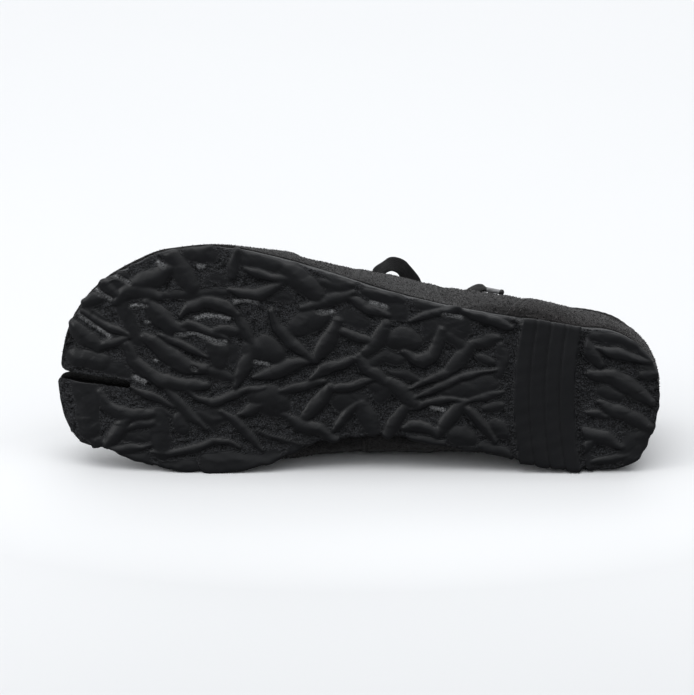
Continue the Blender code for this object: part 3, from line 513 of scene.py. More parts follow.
class Sheet:
    """Vertices and faces of one surface that grows row by row."""

    def __init__(self):
        self.points, self.faces, self.uv = [], [], []

    def vertex(self, p, uv=(0.0, 0.0)):
        self.points.append((float(p[0]), float(p[1]), float(p[2])))
        self.uv.append(uv)
        return len(self.points) - 1

    def strip(self, a, b):
        for j in range(len(a) - 1):
            f = []
            for v in (a[j], a[j + 1], b[j + 1], b[j]):
                if v not in f:
                    f.append(v)
            if len(f) > 2:
                self.faces.append(tuple(f))


def add_mesh(name, sheet, mat, weld=0.0, uv=False, recalc=True):
    mesh = bpy.data.meshes.new(name)
    mesh.from_pydata([tuple(p) for p in place(sheet.points)], [], sheet.faces)
    if uv:
        layer = mesh.uv_layers.new(name="weave")
        which = np.zeros(len(mesh.loops), np.int32)
        mesh.loops.foreach_get("vertex_index", which)
        layer.data.foreach_set("uv", np.array(sheet.uv, float)[which].ravel())
    bm = bmesh.new()
    bm.from_mesh(mesh)
    if weld:
        bmesh.ops.remove_doubles(bm, verts=bm.verts, dist=weld * MM)
    if recalc:
        bmesh.ops.recalc_face_normals(bm, faces=bm.faces)
    bm.to_mesh(mesh)
    bm.free()
    mesh.polygons.foreach_set("use_smooth", [True] * len(mesh.polygons))
    o = bpy.data.objects.new(name, mesh)
    bpy.context.scene.collection.objects.link(o)
    for m in mat if isinstance(mat, (list, tuple)) else [mat]:
        mesh.materials.append(m)
    return o


def settle(o):
    """Applies the modifiers and presses what touches the floor flat."""
    bpy.context.view_layer.update()
    dg = bpy.context.evaluated_depsgraph_get()
    mesh = bpy.data.meshes.new_from_object(o.evaluated_get(dg), preserve_all_data_layers=True, depsgraph=dg)
    mesh.name = o.name
    o.modifiers.clear()
    o.data = mesh
    co = np.zeros(len(mesh.vertices) * 3)
    mesh.vertices.foreach_get("co", co)
    co = co.reshape(-1, 3)
    co[:, 2] = np.maximum(co[:, 2], 0.00002)
    mesh.vertices.foreach_set("co", co.ravel())
    mesh.update()
    return o


def wobble(u, v, seed, size):
    """Smooth unevenness between about -1 and 1, the same on each run."""
    rng = np.random.default_rng(seed)
    total = np.zeros_like(u, float)
    for k in range(7):
        a, f, q = rng.uniform(0, 2 * math.pi), rng.uniform(0.5, 1.6) / size, rng.uniform(0, 2 * math.pi)
        total = total + np.sin(2 * math.pi * f * (u * math.cos(a) + v * math.sin(a)) + q)
    return total / 3.2


# ---------------------------------------------------------------- materials
def new_material(name, colour, rough):
    m = bpy.data.materials.new(name)
    m.use_nodes = True
    b = m.node_tree.nodes["Principled BSDF"]
    b.inputs["Base Color"].default_value = (*colour, 1.0)
    b.inputs["Roughness"].default_value = rough
    return m, m.node_tree, b


def add_node(tree, kind, settings=None, **values):
    n = tree.nodes.new(kind)
    for k, v in (settings or {}).items():
        setattr(n, k, v)
    for k, v in values.items():
        n.inputs[k.replace("_", " ")].default_value = v
    return n


def noise(tree, vector, scale, detail=2.0, rough=0.5):
    n = add_node(tree, "ShaderNodeTexNoise", Scale=scale, Detail=detail, Roughness=rough)
    tree.links.new(vector, n.inputs["Vector"])
    return n.outputs["Fac"]


def ramp(tree, fac, low, high, a, b):
    r = tree.nodes.new("ShaderNodeValToRGB")
    r.color_ramp.elements[0].position, r.color_ramp.elements[1].position = low, high
    r.color_ramp.elements[0].color = (*a, 1.0)
    r.color_ramp.elements[1].color = (*b, 1.0)
    tree.links.new(fac, r.inputs["Fac"])
    return r.outputs["Color"]


def math_node(tree, how, a, b):
    n = add_node(tree, "ShaderNodeMath", {"operation": how})
    for k, v in ((0, a), (1, b)):
        if isinstance(v, (int, float)):
            n.inputs[k].default_value = v
        else:
            tree.links.new(v, n.inputs[k])
    return n.outputs[0]


def map_range(tree, value, a, b, c, d):
    n = tree.nodes.new("ShaderNodeMapRange")
    for k, v in zip(("From Min", "From Max", "To Min", "To Max"), (a, b, c, d)):
        n.inputs[k].default_value = v
    tree.links.new(value, n.inputs["Value"])
    return n.outputs["Result"]


def bump(tree, shader, height, strength, distance):
    n = add_node(tree, "ShaderNodeBump", Strength=strength, Distance=distance)
    tree.links.new(height, n.inputs["Height"])
    tree.links.new(n.outputs["Normal"], shader.inputs["Normal"])


def coords(tree, which="Object"):
    return tree.nodes.new("ShaderNodeTexCoord").outputs[which]


def rubber_material():
    m, t, b = new_material("black_rubber", (0.012, 0.012, 0.013), 0.42)
    at = coords(t)
    tread = add_node(t, "ShaderNodeAttribute", {"attribute_name": "tread"}).outputs["Fac"]
    sand = noise(t, at, 1300.0, 2.0, 0.6)
    patch = noise(t, at, 55.0, 2.0)
    low = math_node(t, "SUBTRACT", 1.0, tread)
    speck = ramp(t, sand, 0.42, 0.66, (0.0055, 0.0058, 0.0066), (0.0540, 0.0560, 0.0620))
    smooth = ramp(t, patch, 0.3, 0.7, (0.0068, 0.0073, 0.0086), (0.0100, 0.0106, 0.0122))
    both = add_node(t, "ShaderNodeMix", {"data_type": "RGBA"})
    t.links.new(low, both.inputs[0])
    t.links.new(smooth, both.inputs[6])
    t.links.new(speck, both.inputs[7])
    # painted highlight: on the ledges the rubber is painted near white, standing in for light caught below the ridges
    ledge_glint = add_node(t, "ShaderNodeAttribute", {"attribute_name": "ledge_glint"}).outputs["Fac"]
    painted_glint = add_node(t, "ShaderNodeMix", {"data_type": "RGBA"})
    t.links.new(math_node(t, "MULTIPLY", ledge_glint, map_range(t, sand, 0.35, 0.6, 0.25, 1.0)), painted_glint.inputs[0])
    t.links.new(both.outputs[2], painted_glint.inputs[6])
    painted_glint.inputs[7].default_value = (0.50, 0.505, 0.515, 1.0)
    t.links.new(painted_glint.outputs[2], b.inputs["Base Color"])
    b.inputs["Specular IOR Level"].default_value = 0.36
    grain = math_node(t, "MULTIPLY", sand, map_range(t, low, 0.0, 1.0, 0.03, 1.0))
    rough = math_node(t, "ADD", map_range(t, tread, 0.0, 1.0, 0.62, 0.36), map_range(t, patch, 0.3, 0.7, -0.04, 0.05))
    t.links.new(rough, b.inputs["Roughness"])
    bump(t, b, grain, 1.0, 0.0012)
    return m


def cloth_material(name, dark, light, nap, rough, sheen):
    """Napped cloth: short fibres, and patches where the nap lies another way."""
    m, t, b = new_material(name, light, rough)
    at = coords(t)
    fibre = noise(t, at, nap, 5.0, 0.8)
    patch = noise(t, at, 70.0, 3.0, 0.6)
    both = math_node(t, "ADD", math_node(t, "MULTIPLY", fibre, 0.8), math_node(t, "MULTIPLY", patch, 0.2))
    t.links.new(ramp(t, both, 0.42, 0.60, dark, light), b.inputs["Base Color"])
    t.links.new(map_range(t, patch, 0.3, 0.7, rough - 0.06, rough + 0.06), b.inputs["Roughness"])
    b.inputs["Sheen Weight"].default_value = sheen
    b.inputs["Sheen Roughness"].default_value = 0.32
    b.inputs["Specular IOR Level"].default_value = 0.15
    bump(t, b, both, 0.9, 0.0008)
    return m


def nap_material():
    """Fibres of the nap, each with its own tone, which also carries painted shade and sheen: darker near the sole,
    lighter higher up.
    """
    m, t, b = new_material("black_fibres", (0.03, 0.03, 0.03), 0.9)
    tone_and_shade = add_node(t, "ShaderNodeAttribute", {"attribute_name": "tone_and_shade"}).outputs["Fac"]
    grain = noise(t, coords(t), 1500.0, 2.0)
    both = math_node(t, "ADD", math_node(t, "MULTIPLY", tone_and_shade, 0.8), math_node(t, "MULTIPLY", grain, 0.2))
    t.links.new(ramp(t, both, 0.15, 0.95, (0.0006, 0.0006, 0.0006), (0.1700, 0.1620, 0.1640)), b.inputs["Base Color"])
    b.inputs["Sheen Weight"].default_value = 0.06
    b.inputs["Specular IOR Level"].default_value = 0.15
    return m


def mesh_cloth_material(name, colour, cell):
    """Knitted lining: rows of small round holes."""
    m, t, b = new_material(name, colour, 0.9)
    at = coords(t)
    holes = add_node(t, "ShaderNodeTexVoronoi", {"feature": "F1"}, Scale=1.0 / cell)
    holes.inputs["Randomness"].default_value = 0.25
    t.links.new(at, holes.inputs["Vector"])
    t.links.new(
        ramp(t, holes.outputs["Distance"], 0.18, 0.5, tuple(0.35 * c for c in colour), colour), b.inputs["Base Color"]
    )
    b.inputs["Sheen Weight"].default_value = 0.15
    b.inputs["Specular IOR Level"].default_value = 0.25
    bump(t, b, holes.outputs["Distance"], 0.7, 0.0006)
    return m


def lace_material():
    """Flat woven lace: slanting ribs that meet along the middle."""
    m, t, b = new_material("black_lace", (0.016, 0.016, 0.017), 0.75)
    uv = coords(t, "UV")
    split = t.nodes.new("ShaderNodeSeparateXYZ")
    t.links.new(uv, split.inputs[0])
    side = math_node(t, "ABSOLUTE", split.outputs["Y"], 0.0)
    slant = math_node(t, "ADD", split.outputs["X"], side)
    rib = math_node(t, "SINE", math_node(t, "MULTIPLY", slant, 2 * math.pi / 0.9), 0.0)
    yarn = math_node(t, "SINE", math_node(t, "MULTIPLY", side, 2 * math.pi / 0.8), 0.0)
    weave = math_node(t, "ADD", rib, math_node(t, "MULTIPLY", yarn, 0.5))
    t.links.new(ramp(t, map_range(t, weave, -1.5, 1.5, 0.0, 1.0), 0.1, 0.9, (0.0024, 0.0024, 0.0027), (0.0260, 0.0260, 0.0270)), b.inputs["Base Color"])
    b.inputs["Sheen Weight"].default_value = 0.06
    b.inputs["Specular IOR Level"].default_value = 0.2
    bump(t, b, weave, 0.6, 0.0003)
    return m


def satin_material(name, colour, rough, scale):
    m, t, b = new_material(name, colour, rough)
    at = coords(t)
    fine = noise(t, at, scale, 3.0)
    t.links.new(ramp(t, fine, 0.3, 0.7, tuple(0.75 * c for c in colour), tuple(1.2 * c for c in colour)), b.inputs["Base Color"])
    t.links.new(map_range(t, fine, 0.3, 0.7, rough - 0.05, rough + 0.07), b.inputs["Roughness"])
    bump(t, b, fine, 0.15, 0.0002)
    return m


RUBBER = rubber_material()
CLOTH = cloth_material("black_nap", (0.0010, 0.0009, 0.0009), (0.0300, 0.0286, 0.0290), 620.0, 0.88, 0.24)
CLOTH_GUARD = cloth_material("black_nap_guard", (0.0010, 0.0009, 0.0009), (0.0310, 0.0296, 0.0300), 660.0, 0.85, 0.25)
CLOTH_HEEL = cloth_material("black_nap_heel", (0.0018, 0.0015, 0.0015), (0.0310, 0.0284, 0.0286), 900.0, 0.86, 0.26)
# painted shade: near-black cloth for the faces down in the split
SPLIT_SHADE_CLOTH = cloth_material("painted_shade_split", (0.0006, 0.0006, 0.0006), (0.0030, 0.0029, 0.0029), 900.0, 0.95, 0.0)
BINDING = cloth_material("black_binding", (0.0045, 0.0043, 0.0043), (0.0120, 0.0116, 0.0116), 2600.0, 0.86, 0.10)
TONGUE_CLOTH = cloth_material("black_tongue", (0.0045, 0.0043, 0.0042), (0.0130, 0.0124, 0.0122), 1700.0, 0.88, 0.11)
NAP = nap_material()
LINING = mesh_cloth_material("black_lining", (0.020, 0.020, 0.020), 0.0011)
FOOTBED = mesh_cloth_material("dark_footbed", (0.030, 0.030, 0.030), 0.0008)
LACE = lace_material()
THREAD = satin_material("black_thread", (0.012, 0.0117, 0.0117), 0.6, 2500.0)
# painted reflection: the clear sleeve's pale grey stands in for the light it reflects
AGLET_PAINTED_SHINE = satin_material("clear_tip_painted_shine", (0.200, 0.200, 0.205), 0.3, 900.0)
AGLET_END = satin_material("black_tip", (0.005, 0.005, 0.005), 0.4, 900.0)
RIM = satin_material("black_eyelet", (0.014, 0.014, 0.014), 0.38, 1500.0)


def piece(o, replaces=()):
    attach(o, "root")
    if replaces:
        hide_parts(*replaces)
    return o


# ---------------------------------------------------------------- camera
VIEW_UP = 18.8           # degrees above the floor
FAR = 2.2                # metres
STEP = 0.4525 * MM       # of the sole per step of the picture
sight = Vector((0.0, math.cos(math.radians(VIEW_UP)), -math.sin(math.radians(VIEW_UP))))
cam = bpy.data.objects.new("camera", bpy.data.cameras.new("camera"))
bpy.context.scene.collection.objects.link(cam)
cam.data.sensor_width = 36.0
cam.data.lens = 36.0 * FAR / (695 * STEP)
cam.location = Vector((-0.00524, -0.0422, 0.0584)) - sight * FAR
cam.rotation_mode = "QUATERNION"
cam.rotation_quaternion = sight.to_track_quat("-Z", "Y")
cam.data.clip_start, cam.data.clip_end = 0.05, 50.0
bpy.context.scene.camera = cam


# ---------------------------------------------------------------- lace paths
def through(points, step=1.0):
    """A smooth line through points, sampled evenly."""
    p = np.array(points, float)
    p = np.concatenate([[2 * p[0] - p[1]], p, [2 * p[-1] - p[-2]]])
    line = []
    for k in range(1, len(p) - 2):
        a, b, c, d = p[k - 1], p[k], p[k + 1], p[k + 2]
        for t in np.linspace(0, 1, 24, endpoint=False):
            line.append(0.5 * (2 * b + (c - a) * t + (2 * a - 5 * b + 4 * c - d) * t * t + (3 * b - a - 3 * c + d) * t ** 3))
    line.append(p[-2])
    line = np.array(line)
    run = np.concatenate([[0], np.cumsum(np.linalg.norm(np.diff(line, axis=0), axis=1))])
    n = max(8, int(round(run[-1] / step)))
    at = np.linspace(0, run[-1], n + 1)
    return np.stack([np.interp(at, run, line[:, k]) for k in range(3)], -1), at


def add_ribbon(sheet, points, flat, widths=None, thick=LACE_THICK, step=1.0):
    """A flat lace along points. flat is the direction of its width, one or one per point; widths are shares of its full width."""
    line, run = through(points, step)
    n = len(line)
    stations = np.linspace(0, 1, len(points))
    share = run / run[-1]
    flats = np.array(flat, float)
    if flats.ndim == 1:
        flats = np.repeat(flats[None], len(points), 0)
    flats = np.stack([np.interp(share, stations, flats[:, k]) for k in range(3)], -1)
    wide = np.interp(share, np.linspace(0, 1, len(widths)), widths) if widths is not None else np.ones(n)
    tangent = np.gradient(line, axis=0)
    tangent /= np.linalg.norm(tangent, axis=1)[:, None]
    flats = flats - tangent * np.sum(flats * tangent, 1)[:, None]
    flats /= np.linalg.norm(flats, axis=1)[:, None]
    normal = np.cross(tangent, flats)
    around = 14
    rings = []
    for k in range(n):
        ring = []
        full = LACE_WIDE * wide[k] / 2
        deep = thick * (1.0 + 0.8 * (1.0 - wide[k])) / 2
        for j in range(around):
            q = 2 * math.pi * (j + 0.5) / around
            c, s = math.cos(q), math.sin(q)
            a = math.copysign(abs(c) ** 0.55, c) * full
            b = math.copysign(abs(s) ** 0.75, s) * deep
            ring.append(sheet.vertex(line[k] + flats[k] * a + normal[k] * b, (run[k], a)))
        rings.append(ring)
    for a, b in zip(rings, rings[1:]):
        sheet.strip(a + a[:1], b + b[:1])
    sheet.faces.append(tuple(rings[0]))
    sheet.faces.append(tuple(rings[-1]))
    return line, run[-1]


def along_bow(name, start):
    """The points of one stretch of the bow, from inside the knot."""
    return [start] + [np.array(p) for p in BOW[name]]


H = (0.0, 0.0, 1.0)
BOW_FLAT = {
    # direction of the lace's width at each point
    "lace_loop_lateral": [
        (0.3, 0.1, 1.0), (0.3, 0.1, 1.0), (0.5, 0.2, 0.9), (0.75, 0.35, 0.6), (0.75, 0.6, 0.35), (0.55, 0.75, 0.4), (0.1, 0.8, 0.6),
        (-0.5, 0.65, 0.55), (-0.8, 0.4, 0.45), (-0.6, 0.1, 0.8), (-0.3, 0.0, 0.95), (-0.1, 0.0, 1.0), (0.0, 0.0, 1.0),
    ],
    "lace_loop_medial": [(0.4, 0.0, 1.0)] * 11,
    "lace_end_lateral": [(0.8, -0.2, 0.6)] * 3 + [(0.6, 0.5, 0.8)] * 2 + [(0.3, 0.55, 0.9)] * 2,
    "lace_end_medial": [(0.9, 0.3, 0.3)] * 6,
}
KNOT_OUT = {
    "lace_loop_lateral": (32.5, 11.5, 85.5),
    "lace_loop_medial": (33.5, 8.5, 85.5),
    "lace_end_lateral": (34.5, 11.0, 85.2),
    "lace_end_medial": (34.5, 9.5, 85.4),
}


def build_bow():
    made = {}
    for name, start in KNOT_OUT.items():
        points = along_bow(name, np.array(start))
        if "loop" in name:
            points.append(np.array(start) + (0.0, 0.0, 0.9))
        n = len(points)
        widths = [0.62, 0.8] + [1.0] * (n - 4) + [0.8, 0.62] if "loop" in name else [0.62, 0.8] + [1.0] * 8 + [0.85, 0.30, 0.26, 0.24]
        s = Sheet()
        flat = (BOW_FLAT[name] + [BOW_FLAT[name][-1]] * n)[:n]
        line, length = add_ribbon(s, points, flat, widths)
        o = add_mesh("flat_" + name, s, LACE, uv=True)
        made[name] = (o, line, length)
    return made


bow = build_bow()


def build_aglet(name, line):
    """A pressed tip over the end of the lace."""
    s = Sheet()
    end, back = line[-1], line[-8]
    d = (end - back) / np.linalg.norm(end - back)
    a = np.cross(d, H)
    a /= np.linalg.norm(a)
    b = np.cross(d, a)
    rings = []
    for at, r in ((-7.0, 0.95), (-6.6, 1.15), (-3.0, 1.12), (0.2, 1.12), (0.5, 1.15), (0.55, 1.35), (1.5, 1.35), (1.9, 0.8)):
        rings.append([
            s.vertex(end + d * at + a * r * math.cos(q) + b * r * math.sin(q))
            for q in np.linspace(0, 2 * math.pi, 20, endpoint=False)
        ])
    for p, q in zip(rings, rings[1:]):
        s.strip(p + p[:1], q + q[:1])
    s.faces.append(tuple(rings[0]))
    s.faces.append(tuple(rings[-1]))
    o = add_mesh(name, s, [AGLET_PAINTED_SHINE, AGLET_END], recalc=True)
    # a clear sleeve, painted pale grey as a stand-in for its reflections, with a dark end
    per = 20
    which = [0] * (4 * per) + [1] * (len(o.data.polygons) - 4 * per - 2) + [0, 1]
    o.data.polygons.foreach_set("material_index", which)
    return o


tips = {k: build_aglet("tip_" + k, bow[k][1]) for k in ("lace_end_lateral", "lace_end_medial")}


# ---------------------------------------------------------------- sole
def ground_facets(u, v):
    """Small tilted facets that break up the ground between the lugs."""
    rng = np.random.default_rng(29)
    seeds = rng.uniform((40.0, 230.0), (680.0, 490.0), (2100, 2))
    tilt = rng.normal(0.0, 0.026, (2100, 2))
    lift = rng.uniform(-0.05, 0.05, 2100)
    tree = KDTree(len(seeds))
    for k, (a, b) in enumerate(seeds):
        tree.insert((a, b * 1.35, 0.0), k)
    tree.balance()
    which = np.array([tree.find((a, b * 1.35, 0.0))[1] for a, b in zip(u, v)])
    du, dv = u - seeds[which, 0], v - seeds[which, 1]
    return np.clip(du * tilt[which, 0] + dv * tilt[which, 1] + lift[which], -0.2, 0.2)


def tread_height(x, w):
    """Height of the tread, about 0 to LUG, for arrays of points of the sole, and where its ledges are, which the rubber
    paints pale as a highlight.
    """
    u, v = x / CHART_STEP + CHART_ALONG_0, CHART_ACROSS_0 - w / CHART_STEP_ACROSS
    uw = u + 0.9 * wobble(u, v, 3, 30.0)
    vw = v + 0.9 * wobble(u, v, 4, 30.0)
    best, trough, ledge_glint = np.zeros_like(u), np.zeros_like(u), np.zeros_like(u)
    for number, row in enumerate(TREAD):
        wide, rise, pointed = row[:3]
        line = np.array(row[3:], float).reshape(-1, 2)
        lo, hi = line.min(0) - wide - 6, line.max(0) + wide + 6
        near = np.nonzero((uw > lo[0]) & (uw < hi[0]) & (vw > lo[1]) & (vw < hi[1]))[0]
        if not len(near):
            continue
        a, b = uw[near], vw[near]
        lengths = np.linalg.norm(np.diff(line, axis=0), axis=1)
        total, done = lengths.sum(), 0.0
        far, share, down = np.full(len(near), 1e9), np.zeros(len(near)), np.zeros(len(near))
        for k, seg in enumerate(lengths):
            p, d = line[k], (line[k + 1] - line[k]) / seg
            t = np.clip((a - p[0]) * d[0] + (b - p[1]) * d[1], 0.0, seg)
            gx, gy = a - p[0] - t * d[0], b - p[1] - t * d[1]
            g = np.hypot(gx, gy)
            closer = g < far
            down = np.where(closer, (gy - 0.45 * gx) / np.maximum(1.1 * g, 1e-6), down)
            far = np.where(closer, g, far)
            share = np.where(closer, (done + t) / total, share)
            done += seg
        taper = 1.0 - pointed * (1.0 - np.sin(np.pi * np.clip(share, 0.02, 0.98)) ** 0.8)
        half = wide * taper * (0.66 + 0.03 * np.clip(down, -1.0, 1.0))
        q = np.clip(far / half, 0.0, 1.0)
        roof = (1.0 - q ** 1.7) ** 0.8
        high = rise * (1.0 - 0.35 * pointed * (1.0 - np.sin(np.pi * share)))
        best[near] = np.maximum(best[near], high * np.clip(roof, 0.0, 1.0))
        deep = (0.12, 0.36, 0.22)[number % 3] * rise
        dip = deep * np.exp(-(((far - half - 1.2) / 2.2) ** 2)) * np.clip(down, 0.0, 1.0) * np.sin(np.pi * np.clip(share, 0.05, 0.95))
        trough[near] = np.maximum(trough[near], dip)
    for row in FACES:
        rise, corners = row[0], np.array(row[1:], float).reshape(-1, 2)
        lo, hi = corners.min(0) - 2, corners.max(0) + 2
        near = np.nonzero((uw > lo[0]) & (uw < hi[0]) & (vw > lo[1]) & (vw < hi[1]))[0]
        if not len(near):
            continue
        a, b = uw[near], vw[near]
        far, inside = np.full(len(near), 1e9), np.zeros(len(near), bool)
        for p, q in zip(corners, np.roll(corners, -1, 0)):
            d = q - p
            t = np.clip(((a - p[0]) * d[0] + (b - p[1]) * d[1]) / (d @ d), 0.0, 1.0)
            far = np.minimum(far, np.hypot(a - p[0] - t * d[0], b - p[1] - t * d[1]))
            cross = ((p[1] > b) != (q[1] > b)) & (a < (q[0] - p[0]) * (b - p[1]) / (q[1] - p[1] + 1e-12) + p[0])
            inside ^= cross
        tilt = (b - corners[:, 1].mean()) / max(8.0, np.ptp(corners[:, 1]))
        face = rise * (0.45 * ease(far / 2.6) + 0.55 * ease(far / 10.0)) * (0.85 + 0.35 * tilt)
        best[near] = np.maximum(best[near], np.where(inside, face, 0.0))
    for row in GLINT_LEDGES:
        wide, line = row[0], np.array(row[1:], float).reshape(-1, 2)
        for p, q in zip(line[:-1], line[1:]):
            seg = np.linalg.norm(q - p)
            d = (q - p) / seg
            t = (u - p[0]) * d[0] + (v - p[1]) * d[1]
            below = (v - p[1]) * d[0] - (u - p[0]) * d[1] - 2.2
            on = ease((t + 1.5) / 3.0) * ease((seg + 1.5 - t) / 3.0) * ease((below + 1.0) / 1.0) * np.clip(1.0 - below / wide, 0.0, 1.0)
            ledge_glint = np.maximum(ledge_glint, on)
    facets = ground_facets(u, v)
    best = np.where(best > 0.05, best + 0.25 * facets * ease(best / 0.3), facets * ease((0.10 - best) / 0.10))
    bow_at = BAND_BOW * ((v - 395.0) / 72.0) ** 2
    front, back = u - BAND_FRONT - bow_at, BAND_BACK + bow_at - u
    inside = np.minimum(front, back)
    # the plain band under the heel: a groove on both sides, three fine lines across
    groove = ease((np.abs(inside + 3.0) - 1.2) / 2.2)
    best = best * np.where(inside < 4.0, groove, 1.0)
    trough = trough * ease(-inside / 3.0)
    best = best - trough * (1.0 - ease(best / 0.12))
    ledge_glint = ledge_glint * ease(-inside / 3.0)
    best = best * (1.0 - ease(ledge_glint / 0.3)) + ease(ledge_glint / 0.3) * (0.16 - 0.34 * ledge_glint)
    band = BAND_RISE * ease((inside + 0.2) / 2.2)
    for at in (16.0, 31.0, 46.0):
        band = band * (1.0 - 0.42 * np.exp(-(((front - at) / 1.15) ** 2)))
    best = np.where(inside > -0.2, band, best)
    return LUG * best, ledge_glint


def sole_bottom(x, w, from_edge):
    arch = ARCH_LIFT * np.exp(-(((x - 6.0) / 36.0) ** 2)) * ease((22.0 - w) / 40.0)
    edge = 0.5 * EDGE_ROUND * np.maximum(0.0, 1.0 - from_edge / 1.8) ** 2
    tip = np.where(w > slot_centre(x), TOE_LATERAL, TOE_MEDIAL)
    edge = edge + 2.2 * np.maximum(0.0, 1.0 - from_edge / 7.0) ** 2 * ease((tip + 16.0 - x) / 12.0)
    tread, ledge_glint = tread_height(x, w)
    return LUG + spring(x) + arch + edge - tread, tread, ledge_glint


def build_outsole():
    rows, root, vamp = make_rows(62, 0.72, 44, 0.0, 14)
    edge = plan(rows, root, 0.0)
    cells_m, cells_l = 62, 92
    s = Sheet()
    n = len(rows)
    at, low_m, low_l, top_m, top_l, top_sm, top_sl = [], [], [], [], [], [], []

    def low(p, away, out):
        at.append((s.vertex((p[0], p[1], 0.0)), p[0], p[1], max(0.0, away), out[0], out[1]))
        return at[-1][0]

    for i in range(n):
        m, l = edge["medial"][i], edge["lateral"][i]
        if i < root:
            inner_m, inner_l = edge["slot_m"][i], edge["slot_l"][i]
        else:
            share = 0.378 + 0.12 * (m[0] - SLOT_ROOT) / (HEEL_BACK - SLOT_ROOT)
            inner_m = inner_l = edge["slot_m"][root] if i == root else m + (l - m) * share
        lines = []
        for outer, inner, cells, tip, out in (
            (m, inner_m, cells_m, TOE_MEDIAL, edge["medial_out"][i]),
            (l, inner_l, cells_l, TOE_LATERAL, edge["lateral_out"][i]),
        ):
            span = abs(inner[1] - outer[1])
            line = []
            for j in range(cells + 1):
                t = j / cells
                p = outer + (inner - outer) * t
                away = t * span
                line.append((p, min(away, HEEL_BACK - p[0], p[0] - tip), out * math.exp(-((t * span / 2.6) ** 2))))
            lines.append(line)
        if i in (0, n - 1):
            a = [low(*lines[0][0])] * (cells_m + 1)
            b = a[:1] * (cells_l + 1) if i == n - 1 else [low(*lines[1][0])] * (cells_l + 1)
        else:
            a = [low(*q) for q in lines[0]]
            b = [low(*q) for q in lines[1][: cells_l + (1 if i < root else 0)]]
            if i >= root:
                b.append(a[-1])
        low_m.append(a)
        low_l.append(b)
        om, ol = edge["medial_out"][i] * 0.5, edge["lateral_out"][i] * (1.12 + 1.0 * float(ease((-46.0 - l[0]) / 14.0)))
        tm = s.vertex((m[0] - om[0], m[1] - om[1], sole_top(m[0])))
        tl = tm if i == n - 1 else s.vertex((l[0] - ol[0], l[1] - ol[1], sole_top(l[0])))
        top_m.append(tm)
        top_l.append(tl)
        if i == 0:
            top_sm.append(tm)
            top_sl.append(tl)
        elif i < root:
            top_sm.append(s.vertex((inner_m[0], inner_m[1] - SPLIT_UNDERCUT * min(1.0, i / 6, (root - i) / 6), sole_top(inner_m[0]))))
            top_sl.append(s.vertex((inner_l[0], inner_l[1], sole_top(inner_l[0]))))
        elif i == root:
            r = s.vertex((inner_m[0], inner_m[1], sole_top(inner_m[0])))
            top_sm.append(r)
            top_sl.append(r)
    which, x, w, away, out_x, out_w = (np.array(c) for c in zip(*at))
    high, tread, ledge_glint = sole_bottom(x, w, away)
    rng = np.random.default_rng(11)
    rough = ease((0.30 * LUG - tread) / (0.22 * LUG)) * ease((away - 0.4) / 1.2)
    high = high + rough * (rng.uniform(-0.30, 0.30, len(x)) + 0.12 * wobble(x, w, 8, 5.0)) + 0.04 * wobble(x, w, 9, 8.0)
    # lugs stand out at the edge, the ground between them falls back
    stand = np.clip(1.9 * tread / LUG, 0.0, 1.6) - 0.9 + 0.3 * wobble(x, w, 10, 9.0)
    stand = stand * (1.0 + 0.9 * ease((-85.0 - x) / 25.0))
    for k, h, dx, dw in zip(which, high, out_x * stand, out_w * stand):
        s.points[k] = (s.points[k][0] + float(dx), s.points[k][1] + float(dw), float(h))

    columns_made = {}

    def wall(bottom, top, out):
        if bottom not in columns_made:
            p, q = np.array(s.points[bottom]), np.array(s.points[top])
            line = [bottom]
            for f, b in ((0.12, 0.32), (0.3, 0.42), (0.55, 0.40), (0.78, 0.30), (0.92, 0.12)):
                r = p + (q - p) * f
                r[:2] += out * b
                line.append(s.vertex(r))
            columns_made[bottom] = line + [top]
        return columns_made[bottom]

    none = np.zeros(2)
    for i in range(n - 1):
        s.strip(low_m[i], low_m[i + 1])
        s.strip(low_l[i], low_l[i + 1])
        for lows, tops, outs in ((low_m, top_m, edge["medial_out"]), (low_l, top_l, edge["lateral_out"])):
            swell = 0.35 if lows is low_l else 1.0
            s.strip(wall(lows[i][0], tops[i], outs[i] * swell), wall(lows[i + 1][0], tops[i + 1], outs[i + 1] * swell))
        if i < root:
            s.strip(wall(low_m[i][-1], top_sm[i], none), wall(low_m[i + 1][-1], top_sm[i + 1], none))
            s.strip(wall(low_l[i][-1], top_sl[i], none), wall(low_l[i + 1][-1], top_sl[i + 1], none))
            s.strip([top_m[i], top_sm[i]], [top_m[i + 1], top_sm[i + 1]])
            s.strip([top_l[i], top_sl[i]], [top_l[i + 1], top_sl[i + 1]])
        elif i == root:
            s.strip([top_m[i], top_sm[i], top_l[i]], [top_m[i + 1], top_m[i + 1], top_l[i + 1]])
        else:
            s.strip([top_m[i], top_l[i]], [top_m[i + 1], top_l[i + 1]])
    o = add_mesh("tread_sole", s, RUBBER)
    value = np.full(len(s.points), 0.75)
    value[which] = ease((tread - 0.1 * LUG) / (0.22 * LUG))
    attribute = o.data.attributes.new("tread", "FLOAT", "POINT")
    attribute.data.foreach_set("value", value)
    # the ledges' mask, which also places the rubber's painted highlight
    value = np.zeros(len(s.points))
    value[which] = ledge_glint
    attribute = o.data.attributes.new("ledge_glint", "FLOAT", "POINT")
    attribute.data.foreach_set("value", value)
    # the top of the sole meets its wall in an edge
    normals = np.zeros(len(o.data.polygons) * 3)
    o.data.polygons.foreach_get("normal", normals)
    up = place_direction(H)
    flat = normals.reshape(-1, 3) @ up > 0.9
    o.data.polygons.foreach_set("use_smooth", ~flat)
    return settle(o)


outsole = piece(build_outsole(), ["outsole"])


